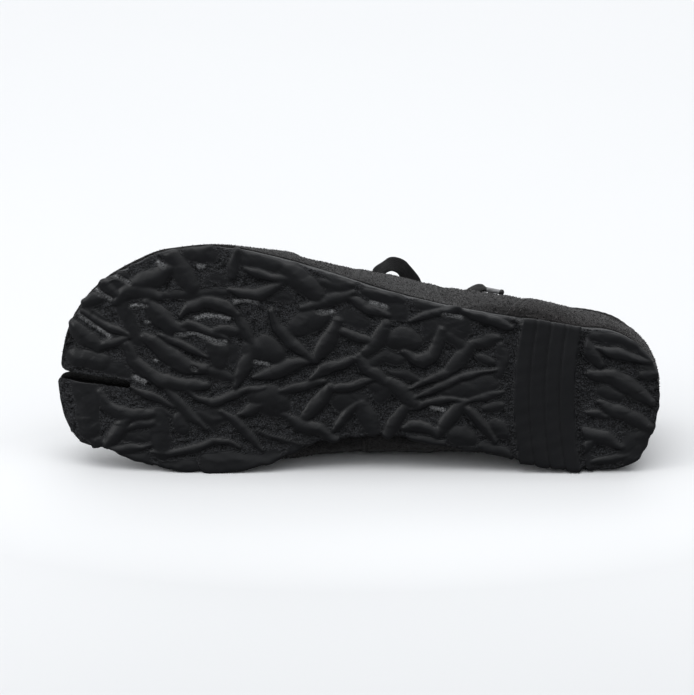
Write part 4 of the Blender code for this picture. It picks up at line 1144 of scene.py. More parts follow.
def build_insole():
    rows, root, _ = make_rows(30, 2.2, 26, INSOLE_INSET, 6)
    s = Sheet()
    n = len(rows)
    rings = []
    for inset, lift in ((0.0, GAP), (-0.0, GAP + INSOLE - 0.7), (0.25, GAP + INSOLE - 0.2), (0.9, GAP + INSOLE), (2.2, GAP + INSOLE - 0.05)):
        edge = plan(rows, root, INSOLE_INSET)

        def moved(key, i):
            p = edge[key][i].copy()
            mid = 0.5 * (edge["medial"][i][1] + (edge["slot_m"][i][1] if i < root else edge["lateral"][i][1]))
            if key in ("lateral", "slot_l"):
                mid = 0.5 * (edge["lateral"][i][1] + (edge["slot_l"][i][1] if i < root else edge["medial"][i][1]))
            p[1] += np.sign(mid - p[1]) * min(inset, 0.45 * abs(mid - p[1]))
            return (p[0], p[1], sole_top(p[0]) + lift)

        m = [s.vertex(moved("medial", i)) for i in range(n)]
        l = [s.vertex(moved("lateral", i)) for i in range(n - 1)] + [m[-1]]
        sm = [m[0]] + [s.vertex(moved("slot_m", i)) for i in range(1, root + 1)]
        sl = [l[0]] + [s.vertex(moved("slot_l", i)) for i in range(1, root)] + [sm[-1]]
        rings.append((m, l, sm, sl))
    for k, (m, l, sm, sl) in enumerate(rings):
        if k in (0, len(rings) - 1):
            for i in range(n - 1):
                if i < root:
                    s.strip([m[i], sm[i]], [m[i + 1], sm[i + 1]])
                    s.strip([l[i], sl[i]], [l[i + 1], sl[i + 1]])
                elif i == root:
                    s.strip([m[i], sm[i], l[i]], [m[i + 1], m[i + 1], l[i + 1]])
                else:
                    s.strip([m[i], l[i]], [m[i + 1], l[i + 1]])
        if k:
            for a, b in zip(rings[k - 1], rings[k]):
                s.strip(a, b)
    return settle(add_mesh("footbed", s, FOOTBED))


insole = piece(build_insole(), ["insole"])


# ---------------------------------------------------------------- upper
UP = np.array(H)


def bezier(p0, p1, p2, p3, t):
    return p0 * (1 - t) ** 3 + p1 * 3 * t * (1 - t) ** 2 + p2 * 3 * t * t * (1 - t) + p3 * t ** 3


def top_point(x, side):
    """The end of a half section: the crest of the vamp, or the edge of throat and collar."""
    tx = x - float(pull(x))
    if x <= VAMP:
        return np.array((x, float(centre(x)), float(top_height(x))))
    half = float(half_open(x)) * float(rounded(x - VAMP, THROAT_ROUND)) * float(rounded(COLLAR_BACK - tx, COLLAR_ROUND))
    return np.array((tx, float(centre(x)) + side * half, float(top_height(x))))


def half_section(x, foot, out, inner, side, tip, ridge):
    """Four points whose curve runs from the feather line to the top of one side."""
    p0 = np.array((foot[0], foot[1], sole_top(foot[0]) + UPPER_GAP))
    outward = np.array((out[0], out[1], 0.0))
    root = SLOT_ROOT + UPPER_INSET
    lean_in = UP + outward * math.tan(math.radians(float(lean_medial(root) if side < 0 else lean_lateral(root))))
    if x <= root + 1e-6:
        grown = float(rounded(x - tip, TOE_RISE))
        high = ridge * grown
        p3 = np.array((inner[0], inner[1], sole_top(inner[0]) + UPPER_GAP))
        # the big-toe lobe leans against the other one at its tip
        push = 1.0 + (1.3 * float(ease((tip + 15.0 - x) / 11.0)) if side < 0 else 0.0)
        swell = np.array((0.0, -side * SPLIT_SWELL * push * float(slot_half(x, UPPER_INSET)) * grown, 0.0))
        return p0, p0 + lean_in * 1.36 * high, p3 + UP * 1.36 * high + swell, p3
    p3 = top_point(x, side)
    lean = math.radians(float(lean_medial(x) if side < 0 else lean_lateral(x)))
    slope = math.radians(float(top_slope(x)))
    if x <= VAMP:
        # the split climbs from the sole to the top of the vamp
        p3[2] = p0[2] + (p3[2] - p0[2]) * float(rounded(x - root, CREASE_END - root))
    far = float(np.linalg.norm(p3 - p0))
    sideways = np.array((0.0, float(side), 0.0)) if x <= VAMP else outward
    h1 = (UP * math.cos(lean) + outward * math.sin(lean)) * (0.38 + 0.2 * lean) * far
    h2 = (sideways * math.cos(slope) - UP * math.sin(slope)) * 0.42 * far
    if x <= CREASE_END:
        k = float(ease((x - root) / (CREASE_END - root)))
        h1 = lean_in * 1.36 * ridge * (1 - k) + h1 * k
        h2 = UP * 1.36 * max(0.0, ridge - p3[2] + p0[2]) * (1 - k) + h2 * k
    return p0, p0 + h1, p3 + h2, p3


class Upper:
    """The outside of the upper as two grids of points, medial and lateral, and what is asked of them."""

    def __init__(self):
        self.rows, self.root, self.vamp = make_rows(44, 1.2, 36, UPPER_INSET, 16)
        self.cells = 56
        n, c = len(self.rows), self.cells
        edge = plan(self.rows, self.root, UPPER_INSET)
        ts = np.linspace(0, 1, c + 1)[:, None]
        grids = []
        for side, key, slot, tip, ridge in (
            (-1, "medial", "slot_m", TOE_MEDIAL + UPPER_INSET, RIDGE_MEDIAL),
            (1, "lateral", "slot_l", TOE_LATERAL + UPPER_INSET, RIDGE_LATERAL),
        ):
            grid = np.zeros((n, c + 1, 3))
            for i in range(n):
                inner = edge[slot][i] if i <= self.root else None
                x = self.rows[i][0 if side < 0 else 1]
                q = half_section(x, edge[key][i], edge[key + "_out"][i], inner, side, tip, ridge)
                grid[i] = bezier(*(v[None] for v in q), ts)
            grids.append(grid)
        self.medial, self.lateral = grids
        self.number()
        self.turn()
        for side, grid in ((-1, self.medial), (1, self.lateral)):
            x = np.array([r[0 if side < 0 else 1] for r in self.rows])[:, None]
            grid += self.normals[side] * self.unevenness(side, x, ts.T, grid)[..., None]
        self.turn()

    def number(self):
        """Numbers the points, those that both sides share once."""
        n, c = len(self.rows), self.cells
        self.index = {-1: np.zeros((n, c + 1), int), 1: np.zeros((n, c + 1), int)}
        count = 0
        for i in range(n):
            for side in (-1, 1):
                row = self.index[side][i]
                if i == 0:
                    row[:] = count
                    count += 1
                elif side > 0 and i == n - 1:
                    row[:] = self.index[-1][i]
                elif side > 0 and self.root <= i <= self.vamp:
                    row[:c] = np.arange(count, count + c)
                    row[c] = self.index[-1][i][c]
                    count += c
                else:
                    row[:] = np.arange(count, count + c + 1)
                    count += c + 1
        self.count = count

    def turn(self):
        """Outward normals, the same for points that both sides share."""
        total = np.zeros((self.count, 3))
        for side, grid in ((-1, self.medial), (1, self.lateral)):
            a, b, c, d = grid[:-1, :-1], grid[1:, :-1], grid[1:, 1:], grid[:-1, 1:]
            f = np.cross(c - a, d - b) * -side
            for k, (p, q) in enumerate(((slice(None, -1), slice(None, -1)), (slice(1, None), slice(None, -1)), (slice(1, None), slice(1, None)), (slice(None, -1), slice(1, None)))):
                np.add.at(total, self.index[side][p, q].ravel(), f.reshape(-1, 3))
        total /= np.maximum(np.linalg.norm(total, axis=1), 1e-9)[:, None]
        if total[self.index[-1][-1][20]][0] < 0:
            total = -total
        self.normals = {s: total[self.index[s]] for s in (-1, 1)}

    def unevenness(self, side, x, t, grid):
        """Creases where the foot bends, and cloth that isn't quite smooth."""
        fold = np.zeros(np.broadcast(x, t).shape)
        for at, deep, wide, skew in ((-86.0, 0.5, 2.6, 9.0), (-74.0, 0.9, 2.8, 12.0), (-62.0, 0.75, 2.6, 10.0), (-52.0, 0.4, 2.4, 8.0)):
            d = x - (at + skew * (1.0 - t) * (1 if side > 0 else 0.6) + 1.5 * np.sin(t * 9.0 + at))
            reach = ease((t - 0.30) / 0.25) * ease((-36.0 - x) / 10.0)
            fold = fold + reach * deep * (0.55 * np.exp(-((d - 4.0) / 3.2) ** 2) + 0.45 * np.exp(-((d + 4.0) / 3.2) ** 2) - np.exp(-((d / wide) ** 2)))
        for at, deep, slant in ((46.0, 0.45, 22.0), (55.0, 0.5, 18.0), (64.0, 0.35, 16.0)):
            d = x - at - slant * (t - 0.5)
            fold = fold - deep * np.exp(-((d / 2.6) ** 2)) * ease((t - 0.25) / 0.2) * ease((0.95 - t) / 0.2)
        soft = 0.28 * wobble(grid[..., 0], grid[..., 2] + 2.0 * side * grid[..., 1], 21 + side, 34.0)
        soft = soft + 0.10 * wobble(grid[..., 0], grid[..., 2] + side * grid[..., 1], 31 + side, 12.0)
        if side > 0:
            soft = soft + 1.5 * np.exp(-(((x - 66.0) / 15.0) ** 2)) - 1.5 * np.exp(-(((x - 32.0) / 14.0) ** 2))
            soft = soft - 1.7 * np.exp(-(((x + 70.0) / 17.0) ** 2))
        calm = ease(t / 0.08) * ease((1.0 - t) / 0.04 * np.where(x > VAMP, 1.0, 100.0))
        ends = ease((x + 134.0) / 14.0) * ease((134.0 - x) / 10.0)
        return (fold + soft) * calm * ends

    def length(self, side, x):
        """Length of the half section at x, from the sole to the top."""
        i = int(np.argmin([abs(r[0 if side < 0 else 1] - x) for r in self.rows]))
        grid = self.medial if side < 0 else self.lateral
        return float(np.linalg.norm(np.diff(grid[i], axis=0), axis=1).sum())

    def at(self, side, x, t, lift=0.0):
        """Points on the outside, lifted along the normal, and the normals there."""
        xs = np.array([r[0 if side < 0 else 1] for r in self.rows])
        x, t = np.broadcast_arrays(np.asarray(x, float), np.asarray(t, float))
        i = np.clip(np.interp(x, xs, np.arange(len(xs))), 0, len(xs) - 1.000001)
        j = np.clip(t * self.cells, 0, self.cells - 1e-6)
        i0, j0 = i.astype(int), j.astype(int)
        a, b = (i - i0)[..., None], (j - j0)[..., None]

        def mix(g):
            return (g[i0, j0] * (1 - a) + g[i0 + 1, j0] * a) * (1 - b) + (g[i0, j0 + 1] * (1 - a) + g[i0 + 1, j0 + 1] * a) * b

        grid = self.medial if side < 0 else self.lateral
        p, nn = mix(grid), mix(self.normals[side])
        nn = nn / np.maximum(np.linalg.norm(nn, axis=-1), 1e-9)[..., None]
        return p + nn * np.asarray(lift)[..., None], nn


upper = Upper()


def wall_shell(o, thick, inner=None):
    """Gives an open surface a wall on its inner side."""
    back = max(o.data.polygons, key=lambda f: f.center.x)
    if back.normal.x < 0:
        o.data.flip_normals()
    m = o.modifiers.new("wall", "SOLIDIFY")
    m.thickness = thick * MM
    m.offset = -1.0
    m.use_rim = True
    if inner is not None:
        m.material_offset = inner
    return o


def build_upper():
    s = Sheet()
    s.points = [None] * upper.count
    for side, grid in ((-1, upper.medial), (1, upper.lateral)):
        for i in range(len(upper.rows)):
            for j in range(upper.cells + 1):
                s.points[upper.index[side][i, j]] = tuple(grid[i, j])
        rows = upper.index[side]
        for i in range(len(rows) - 1):
            a, b = list(rows[i]), list(rows[i + 1])
            s.strip(a, b) if side < 0 else s.strip(a[::-1], b[::-1])
    o = add_mesh("upper_cloth", s, [CLOTH, LINING])
    return wall_shell(o, WALL, 1)


def panel(name, mat, sides, front, back, low, high, lift, rows=70, cells=50, skirt=(True, True)):
    """A thin overlay on the upper between two lines across it. front and back give along for a share of the height."""
    s = Sheet()
    near = [0.0, 0.25, 0.55, 0.9, 1.3, 1.8, 2.3, 2.9, 3.6, 4.6, 6.0]
    for side in sides:
        b = np.linspace(0, 1, cells + 1)
        lines = []
        for share in b:
            t = low + (high - low) * share
            x0, x1 = front(side, t), back(side, t)
            start = [x0 + v for v in near] if skirt[0] else [x0]
            stop = [x1 - v for v in near[::-1]] if skirt[1] else [x1]
            lo, hi = start[-1], stop[0]
            q = np.linspace(0, 1, rows + 1)[1:-1]
            middle = lo + (hi - lo) * (q if skirt[0] else q ** 1.5 if skirt[1] else q)
            if not skirt[1]:
                middle = lo + (hi - lo) * (1 - (1 - q) ** 1.6)
            x = np.array(start + list(middle) + stop)
            d = np.full(len(x), 50.0)
            if skirt[0]:
                d = np.minimum(d, x - x0)
            if skirt[1]:
                d = np.minimum(d, x1 - x)
            up = lift * (0.45 + 0.55 * (1.0 - np.exp(-np.maximum(d, 0.0) / 0.45))) - 0.22 * np.exp(-(((d - 2.3) / 0.55) ** 2))
            up = up * (0.40 + 0.60 * float(ease(t / 0.07)))
            p, _ = upper.at(side, x, np.full(len(x), t), up)
            lines.append([s.vertex(v) for v in p])
        for a, c in zip(lines, lines[1:]):
            s.strip(a, c)
    o = add_mesh(name, s, mat, weld=0.02)
    if len(o.data.materials) > 1:
        # painted shade: the cloth down in the split is made near black, standing in for the shade between the toe lobes
        for f in o.data.polygons:
            x, w, h = from_place(f.center)
            f.material_index = int(x < SLOT_ROOT + 3.0 and abs(w - slot_centre(x)) < 5.0 and h < sole_top(x) + 10.0)
    wall_shell(o, lift + 0.25)
    return o


def guard_back(side, t):
    return np.interp(t, (0.0, 0.25, 0.5, 0.75, 1.0), (-22.0, -30.0, -46.0, -62.0, -72.0) if side > 0 else (-40.0, -46.0, -56.0, -66.0, -72.0))


def tip_of(side, t):
    return (TOE_MEDIAL if side < 0 else TOE_LATERAL) + UPPER_INSET


def saddle_front(side, t):
    return -2.5 - 34.0 * float(ease((t - 0.35) / 0.65)) + (4.0 if side < 0 else 0.0) * (1 - t)


def saddle_back(side, t):
    return 41.0 - 6.0 * math.sin(math.pi * min(1.0, t * 1.1)) + 4.0 * float(ease((t - 0.6) / 0.4))


def counter_front(side, t):
    return 66.5 + 30.0 * t - 12.0 * t * t


def heel_end(side, t):
    return HEEL_BACK - UPPER_INSET


upper_cloth = build_upper()
guard = panel("toe_guard", [CLOTH_GUARD, SPLIT_SHADE_CLOTH], (-1, 1), tip_of, guard_back, 0.0, 1.0, 0.8, rows=64, cells=56, skirt=(False, True))
saddles = [
    panel("saddle_" + ("lateral" if side > 0 else "medial"), CLOTH_GUARD, (side,), saddle_front, saddle_back, 0.0, 0.985, 0.8, rows=40, cells=56)
    for side in (-1, 1)
]
counter = panel("heel_counter", CLOTH_HEEL, (-1, 1), counter_front, heel_end, 0.0, 0.965, 0.75, rows=56, cells=50, skirt=(True, False))


# ---------------------------------------------------------------- eyelets
def eyelet(side, k):
    """Middle of an eyelet on the outside of the overlay, and the directions out of it and towards the throat."""
    x = EYELETS[k]
    t = 1.0 - EYELET_BACK / upper.length(side, x)
    p, n = upper.at(side, np.array([x]), np.array([t]), np.array([0.8]))
    q, _ = upper.at(side, np.array([x]), np.array([t + 0.03]), np.array([0.8]))
    d = q[0] - p[0]
    d = d - n[0] * np.dot(d, n[0])
    return p[0], n[0], d / np.linalg.norm(d)


HOLE = 2.1


def build_cutter():
    s = Sheet()
    for side in (-1, 1):
        for k in range(len(EYELETS)):
            p, n, d = eyelet(side, k)
            e = np.cross(n, d)
            rings = [
                [s.vertex(p + n * z + (d * math.cos(q) + e * math.sin(q)) * HOLE) for q in np.linspace(0, 2 * math.pi, 28, endpoint=False)]
                for z in (-4.6, 3.0)
            ]
            s.strip(rings[0] + rings[0][:1], rings[1] + rings[1][:1])
            s.faces += [tuple(rings[0]), tuple(rings[1])]
    o = add_mesh("eyelet_cutter", s, RIM)
    o.hide_render = True
    return o


cutter = build_cutter()
for o in [upper_cloth] + saddles:
    b = o.modifiers.new("eyelets", "BOOLEAN")
    b.operation = "DIFFERENCE"
    b.solver = "MANIFOLD"
    b.object = cutter
for o in [upper_cloth, guard, counter] + saddles:
    settle(o)
bpy.data.objects.remove(cutter, do_unlink=True)
piece(upper_cloth, ["upper"])
for o in [guard, counter] + saddles:
    piece(o)


def build_rims():
    s = Sheet()
    for side in (-1, 1):
        for k in range(len(EYELETS)):
            p, n, d = eyelet(side, k)
            e = np.cross(n, d)
            rings = []
            for q in np.linspace(0, 2 * math.pi, 32, endpoint=False):
                c = d * math.cos(q) + e * math.sin(q)
                ring = []
                for r, z in ((1.95, -2.6), (1.98, 0.0), (2.15, 0.42), (2.55, 0.58), (3.05, 0.42), (3.3, 0.05), (3.2, -0.3), (2.3, -2.6)):
                    ring.append(s.vertex(p + c * r + n * z))
                rings.append(ring)
            for a, b in zip(rings, rings[1:] + rings[:1]):
                s.strip(a + a[:1], b + b[:1])
    return add_mesh("eyelet_rims", s, RIM)


rims = piece(settle(build_rims()))


# ---------------------------------------------------------------- nap
def covered(side, x, t):
    """Whether an overlay lies on the upper at this place."""
    if x < guard_back(side, t):
        return True
    if saddle_front(side, t) < x < saddle_back(side, t):
        return True
    return x > counter_front(side, t)


def sewn(side, x, t):
    """Whether this place lies in a seam, where the nap is pressed down."""
    return (
        -3.4 < x - guard_back(side, t) < 0.8
        or -0.8 < x - saddle_front(side, t) < 3.4
        or -3.4 < x - saddle_back(side, t) < 0.8
        or -0.8 < x - counter_front(side, t) < 6.2
    )


def build_nap():
    """Short fibres that stand out of the cloth in loose tufts."""
    rng = np.random.default_rng(47)
    s = Sheet()
    tones = []
    for side, grid in ((-1, upper.medial), (1, upper.lateral)):
        a, b, c, d = grid[:-1, :-1], grid[1:, :-1], grid[1:, 1:], grid[:-1, 1:]
        area = 0.5 * np.linalg.norm(np.cross(c - a, d - b), axis=-1)
        area[:, int(0.92 * upper.cells):] = 0.0
        area[: upper.root + 6] *= ease((0.84 - np.arange(upper.cells) / upper.cells) / 0.24)
        count = int(NAP_DENSITY * area.sum())
        pick = rng.choice(area.size, count, p=(area / area.sum()).ravel())
        i, j = np.divmod(pick, upper.cells)
        u, v = rng.uniform(0.0, 1.0, (2, count))
        rows = np.array([r[0 if side < 0 else 1] for r in upper.rows])
        x, t = rows[i] * (1 - u) + rows[i + 1] * u, (j + v) / upper.cells
        stay = np.array([not sewn(side, p, q) for p, q in zip(x, t)]) | (rng.uniform(0.0, 1.0, count) < 0.05)
        x, t, count = x[stay], t[stay], int(stay.sum())
        over = np.array([covered(side, p, q) for p, q in zip(x, t)])
        lift = np.where(over, 0.72 * (0.40 + 0.60 * ease(t / 0.07)), 0.0)
        p, n = upper.at(side, x, t, lift)
        lie = rng.normal(0.0, 1.0, (count, 3))
        lie -= n * np.sum(lie * n, 1)[:, None]
        lie /= np.linalg.norm(lie, axis=1)[:, None]
        tuft = wobble(p[:, 0] + 0.7 * p[:, 1], p[:, 2] - 0.7 * p[:, 1], 51, 3.0)
        long = rng.uniform(0.35, 0.78, count) * (1.0 + 0.25 * tuft)
        lean = rng.uniform(0.5, 1.15, count)
        tip = p + (n * np.cos(lean)[:, None] + lie * np.sin(lean)[:, None]) * long[:, None]
        half = np.cross(n, lie) * rng.uniform(0.18, 0.30, count)[:, None]
        clump = wobble(p[:, 0], 0.22 * p[:, 2], 53, 1.4)
        # painted shade and sheen: fibres near the sole are darker, those higher up lighter; tufts, clumps and chance
        # give the rest of the tone
        tone_and_shade = np.clip(0.16 + 0.26 * ease(t / 0.22) + 0.16 * tuft + 0.50 * clump + rng.normal(0.0, 0.45, count), 0.0, 1.0)
        for k in range(count):
            foot = p[k] - n[k] * 0.12
            s.faces.append((s.vertex(foot - half[k]), s.vertex(foot + half[k]), s.vertex(tip[k])))
        tones.append(np.repeat(tone_and_shade, 3))
    o = add_mesh("nap", s, NAP, recalc=False)
    attribute = o.data.attributes.new("tone_and_shade", "FLOAT", "POINT")
    attribute.data.foreach_set("value", np.concatenate(tones))
    return o


nap = piece(settle(build_nap()))


# ---------------------------------------------------------------- bindings
def build_binding():
    """A rolled edge round throat and collar, fuller behind the ankle."""
    lateral = [(1, i) for i in range(upper.vamp, len(upper.rows) - 1)]
    medial = [(-1, i) for i in range(len(upper.rows) - 1, upper.vamp, -1)]
    line, out = [], []
    for side, i in lateral + medial:
        grid = upper.medial if side < 0 else upper.lateral
        line.append(grid[i][-1])
        out.append(upper.normals[side][i][-1])
    line, out = np.array(line), np.array(out)
    run = np.concatenate([[0], np.cumsum(np.linalg.norm(np.diff(np.concatenate([line, line[:1]]), axis=0), axis=1))])
    count = 420
    at = np.linspace(0, run[-1], count, endpoint=False)

    def even(v):
        v = np.concatenate([v, v[:1]])
        return np.stack([np.interp(at, run, v[:, k]) for k in range(3)], -1)

    line, out = even(line), even(out)
    for _ in range(4):
        line = 0.5 * line + 0.25 * (np.roll(line, 1, 0) + np.roll(line, -1, 0))
        out = 0.5 * out + 0.25 * (np.roll(out, 1, 0) + np.roll(out, -1, 0))
    tangent = np.roll(line, -1, 0) - np.roll(line, 1, 0)
    tangent /= np.linalg.norm(tangent, axis=1)[:, None]
    out -= tangent * np.sum(out * tangent, 1)[:, None]
    out /= np.linalg.norm(out, axis=1)[:, None]
    up = np.cross(tangent, out)
    up *= np.sign(np.sum(up * UP, 1))[:, None]
    s = Sheet()
    rings = []
    around = 18
    for k in range(count):
        full = float(ease((line[k][0] - 34.0) / 26.0))
        r_out, r_up = 1.5 + 1.0 * full, 1.6 + 1.9 * full
        middle = line[k] - out[k] * 0.9 - up[k] * (0.5 + 1.2 * full)
        pucker = 1.0 + 0.025 * math.sin(at[k] * 2 * math.pi / 3.4)
        rings.append([
            s.vertex(middle + (out[k] * r_out * math.cos(q) + up[k] * r_up * math.sin(q)) * pucker)
            for q in np.linspace(0, 2 * math.pi, around, endpoint=False)
        ])
    for a, b in zip(rings, rings[1:] + rings[:1]):
        s.strip(a + a[:1], b + b[:1])
    return add_mesh("collar_binding", s, BINDING)


binding = piece(settle(build_binding()))


# ---------------------------------------------------------------- tongue
def tongue_at(x, k):
    x = min(max(x, TONGUE_ROWS[0][0]), TONGUE_ROWS[-1][0])
    half, sag = float(tongue_half(x)), float(tongue_sag(x))
    x2 = min(x + 0.5, TONGUE_ROWS[-1][0])
    rise = float(tongue_crest(x2)) - float(tongue_crest(x2 - 1.0))
    normal = np.array((-rise, 2.0 * sag * k / half, 1.0))
    normal /= np.linalg.norm(normal)
    return np.array((x, float(centre(min(x, 47.0))) + half * k, float(tongue_crest(x)) - sag * k * k)), normal


def build_tongue():
    s = Sheet()
    n, across = 90, 40
    x0, x1 = TONGUE_ROWS[0][0], TONGUE_ROWS[-1][0]
    rings = []
    for i in range(n + 1):
        # the top end is rounded, and rolled over a little
        x = x0 + (x1 - x0) * i / n
        near = (x1 - x) / 9.0
        upper_line, lower_line = [], []
        for j in range(across + 1):
            k = math.sin(math.pi * 0.5 * (2.0 * j / across - 1.0))
            p, nn = tongue_at(x, k)
            full = math.sqrt(max(0.0, 1.0 - k ** 6)) * math.sqrt(min(1.0, max(0.0, near + 0.06)))
            quilt = 0.25 * math.cos(math.pi * 2.0 * k * 1.5) * float(ease((x - 32.0) / 8.0))
            puff = 0.12 * math.sin(x * 0.55 + 3.0 * k) * (1 - k * k)
            upper_line.append(s.vertex(p - nn * 0.5 * TONGUE + nn * (0.5 * TONGUE * full + quilt * full + puff - 0.12)))
            lower_line.append(s.vertex(p - nn * 0.5 * TONGUE - nn * 0.45 * TONGUE * full))
        rings.append(upper_line + lower_line[::-1])
    for a, b in zip(rings, rings[1:]):
        s.strip(a + a[:1], b + b[:1])
    for end in (rings[0], rings[-1]):
        half = across + 1
        a, b = end[:half], end[half:][::-1]
        s.strip(a, b)
    return add_mesh("tongue_pad", s, TONGUE_CLOTH, weld=0.001)


tongue = piece(settle(build_tongue()), ["tongue"])


# ---------------------------------------------------------------- lacing
def flap(side, x, off, lift):
    """A point of the flap beside the throat, off millimetres from its edge."""
    t = 1.0 - off / upper.length(side, x)
    p, n = upper.at(side, np.array([x]), np.array([t]), np.array([lift]))
    return p[0]


def over_tongue(x, share, lift):
    p, n = tongue_at(x, share)
    return p + n * lift


def build_lacing():
    s = Sheet()
    e = EYELETS
    sunk = WALL + 1.15

    def hole(side, k, depth):
        p, n, d = eyelet(side, k)
        return p + n * depth

    def leave(side, k, lift):
        """Out of an eyelet and over the flap to the throat."""
        p, n, d = eyelet(side, k)
        return [p - n * 4.2 - d * 0.2, p - n * 1.6, p + n * 0.5 + d * 0.6, p + n * 1.6 + d * 2.6], [0.55, 0.55, 0.6, 0.85]

    def tuck(side, k):
        """Under the flap to the eyelet from inside."""
        p, n, d = eyelet(side, k)
        return [p + d * (EYELET_BACK + 1.5) - n * (sunk + 0.9), p + d * 3.0 - n * (sunk + 0.7), p - d * 0.5 - n * (sunk + 0.9)], [1.0, 0.9, 0.6]

    def middle(a, b, x1, x2, lift, shares):
        pts = []
        for q in shares:
            x = x1 + (x2 - x1) * (0.5 + 0.5 * q)
            pts.append(over_tongue(x, a * -q * 0.36, lift))
        return pts

    def across(k1, k2, side, lift, under):
        """From the eyelet k1 on one side to k2 on the other."""
        x1, x2 = e[k1], e[k2]
        first, w1 = (leave(side, k1, 0) if not under else tuple(v[::-1] for v in tuck(side, k1)))
        last, w2 = tuck(-side, k2)
        mid = middle(side, -side, x1, x2, lift, (-0.55, 0.0, 0.55))
        points = list(first) + mid + list(last)
        d = points[-1] - points[0]
        flat = np.cross(d, UP)
        flat /= np.linalg.norm(flat)
        if flat[0] < 0:
            flat = -flat
        rise = float(tongue_crest(min(x2, 50) + 1.0)) - float(tongue_crest(x1 - 1.0))
        flat = flat + UP * rise / (x2 - x1 + 2.0) * flat[0]
        add_ribbon(s, points, flat, w1 + [1.0] * 3 + w2)

    # the first pass lies across both flaps
    a, wa = leave(1, 0, 0)
    b, wb = leave(-1, 0, 0)
    x = e[0]
    mid = [over_tongue(x, 0.30, 2.6), over_tongue(x, 0.0, 2.2), over_tongue(x, -0.30, 2.6)]
    add_ribbon(s, a + mid + b[::-1], (1.0, 0.0, 0.28), wa + [1.0] * 3 + wb[::-1])
    for k in range(len(e) - 1):
        for side, lift in ((1, 1.0), (-1, 2.5)):
            across(k, k + 1, side, lift, k == 0)
    # from the top eyelets up to the knot
    for side in (1, -1):
        a, wa = leave(side, len(e) - 1, 0)
        knot = np.array(KNOT)
        mid = [over_tongue(28.0, side * 0.45, 3.2), over_tongue(31.0, side * 0.2, 4.6), knot + (0.0, side * 1.5, -1.0)]
        add_ribbon(s, a + mid, (1.0, 0.0, 0.3), wa + [1.0, 0.85, 0.65])
    return add_mesh("lacing", s, LACE, uv=True)


lacing = piece(build_lacing(), ["lace_crossings"])


def build_knot():
    """The tied middle of the bow: a band wrapped round the gathered lace."""
    s = Sheet()
    c = np.array(KNOT)
    around, steps = 30, 46
    rings = []
    for i in range(steps + 1):
        q = 2 * math.pi * i / steps
        ring = []
        for j in range(around):
            g = 2 * math.pi * j / around
            # a flat band that goes round the across axis, folded along its length
            a = math.copysign(abs(math.cos(g)) ** 0.6, math.cos(g)) * 3.4
            b = math.copysign(abs(math.sin(g)) ** 0.8, math.sin(g)) * (0.85 + 0.22 * math.cos(3.0 * a / 3.4 * math.pi))
            r_x, r_h = 4.0 + b, 2.5 + b
            lean = 0.22 * a
            ring.append(s.vertex(c + (r_x * math.cos(q) + lean, a + 0.5 * math.sin(2 * q), r_h * math.sin(q)), (i * 0.45, a)))
        rings.append(ring)
    for a, b in zip(rings, rings[1:]):
        s.strip(a + a[:1], b + b[:1])
    # the gathered lace inside it
    add_ribbon(s, [c + (-0.6, 5.0, 0.6), c + (0.0, 2.5, 0.3), c + (0.2, 0.0, 0.0), c + (0.2, -2.5, 0.3), c + (0.8, -5.0, 0.6)], (1.0, 0.0, 0.1), [0.85, 0.9, 0.95, 0.9, 0.85], thick=3.4)
    return add_mesh("bow_knot", s, LACE, weld=0.001, uv=True)


knot = piece(build_knot(), ["lace_knot"])

for name, (o, line, length) in bow.items():
    piece(o, [name])
    with_tip = []
    if name in tips:
        with_tip = [piece(tips[name])]


# ---------------------------------------------------------------- stitches
def add_stitch(s, p, along, out, long, thick):
    """One stitch, a short thread that dips at both ends."""
    side = np.cross(along, out)
    rings = []
    for a, r, z in ((-1.0, 0.35, -0.6), (-0.72, 0.9, 0.1), (0.0, 1.0, 0.35), (0.72, 0.9, 0.1), (1.0, 0.35, -0.6)):
        m = p + along * a * long / 2 + out * z * thick
        rings.append([s.vertex(m + (side * math.cos(q) + out * math.sin(q)) * r * thick) for q in np.linspace(0, 2 * math.pi, 6, endpoint=False)])
    for a, b in zip(rings, rings[1:]):
        s.strip(a + a[:1], b + b[:1])
    s.faces += [tuple(rings[0]), tuple(rings[-1])]


def stitch_line(s, side, line, lift, pitch=2.9, long=2.1, thick=0.30):
    """Stitches along a line on the upper. line gives along for a share of the height."""
    t = np.linspace(line[1], line[2], 400)
    x = np.array([line[0](side, v) for v in t])
    p, n = upper.at(side, x, t, np.full(400, lift))
    run = np.concatenate([[0], np.cumsum(np.linalg.norm(np.diff(p, axis=0), axis=1))])
    count = int(run[-1] / pitch)
    for k in range(count):
        at = (k + 0.5) * pitch
        q = np.array([np.interp(at, run, p[:, c]) for c in range(3)])
        o = np.array([np.interp(at, run, n[:, c]) for c in range(3)])
        d = np.array([np.interp(at + 0.5, run, p[:, c]) - np.interp(at - 0.5, run, p[:, c]) for c in range(3)])
        add_stitch(s, q, d / np.linalg.norm(d), o / np.linalg.norm(o), long, thick)


def build_stitches():
    s = Sheet()
    for side in (-1, 1):
        for shift in (2.3,):
            stitch_line(s, side, (lambda sd, t: guard_back(sd, t) - shift, 0.03, 0.995), 0.62)
            stitch_line(s, side, (lambda sd, t: saddle_front(sd, t) + shift, 0.03, 0.97), 0.62)
            stitch_line(s, side, (lambda sd, t: saddle_back(sd, t) - shift, 0.03, 0.97), 0.62)
        for shift in (2.3, 5.0):
            stitch_line(s, side, (lambda sd, t: counter_front(sd, t) + shift, 0.03, 0.95), 0.60 if shift < 3 else 0.72)
    return add_mesh("stitches", s, THREAD)


stitches = piece(settle(build_stitches()))


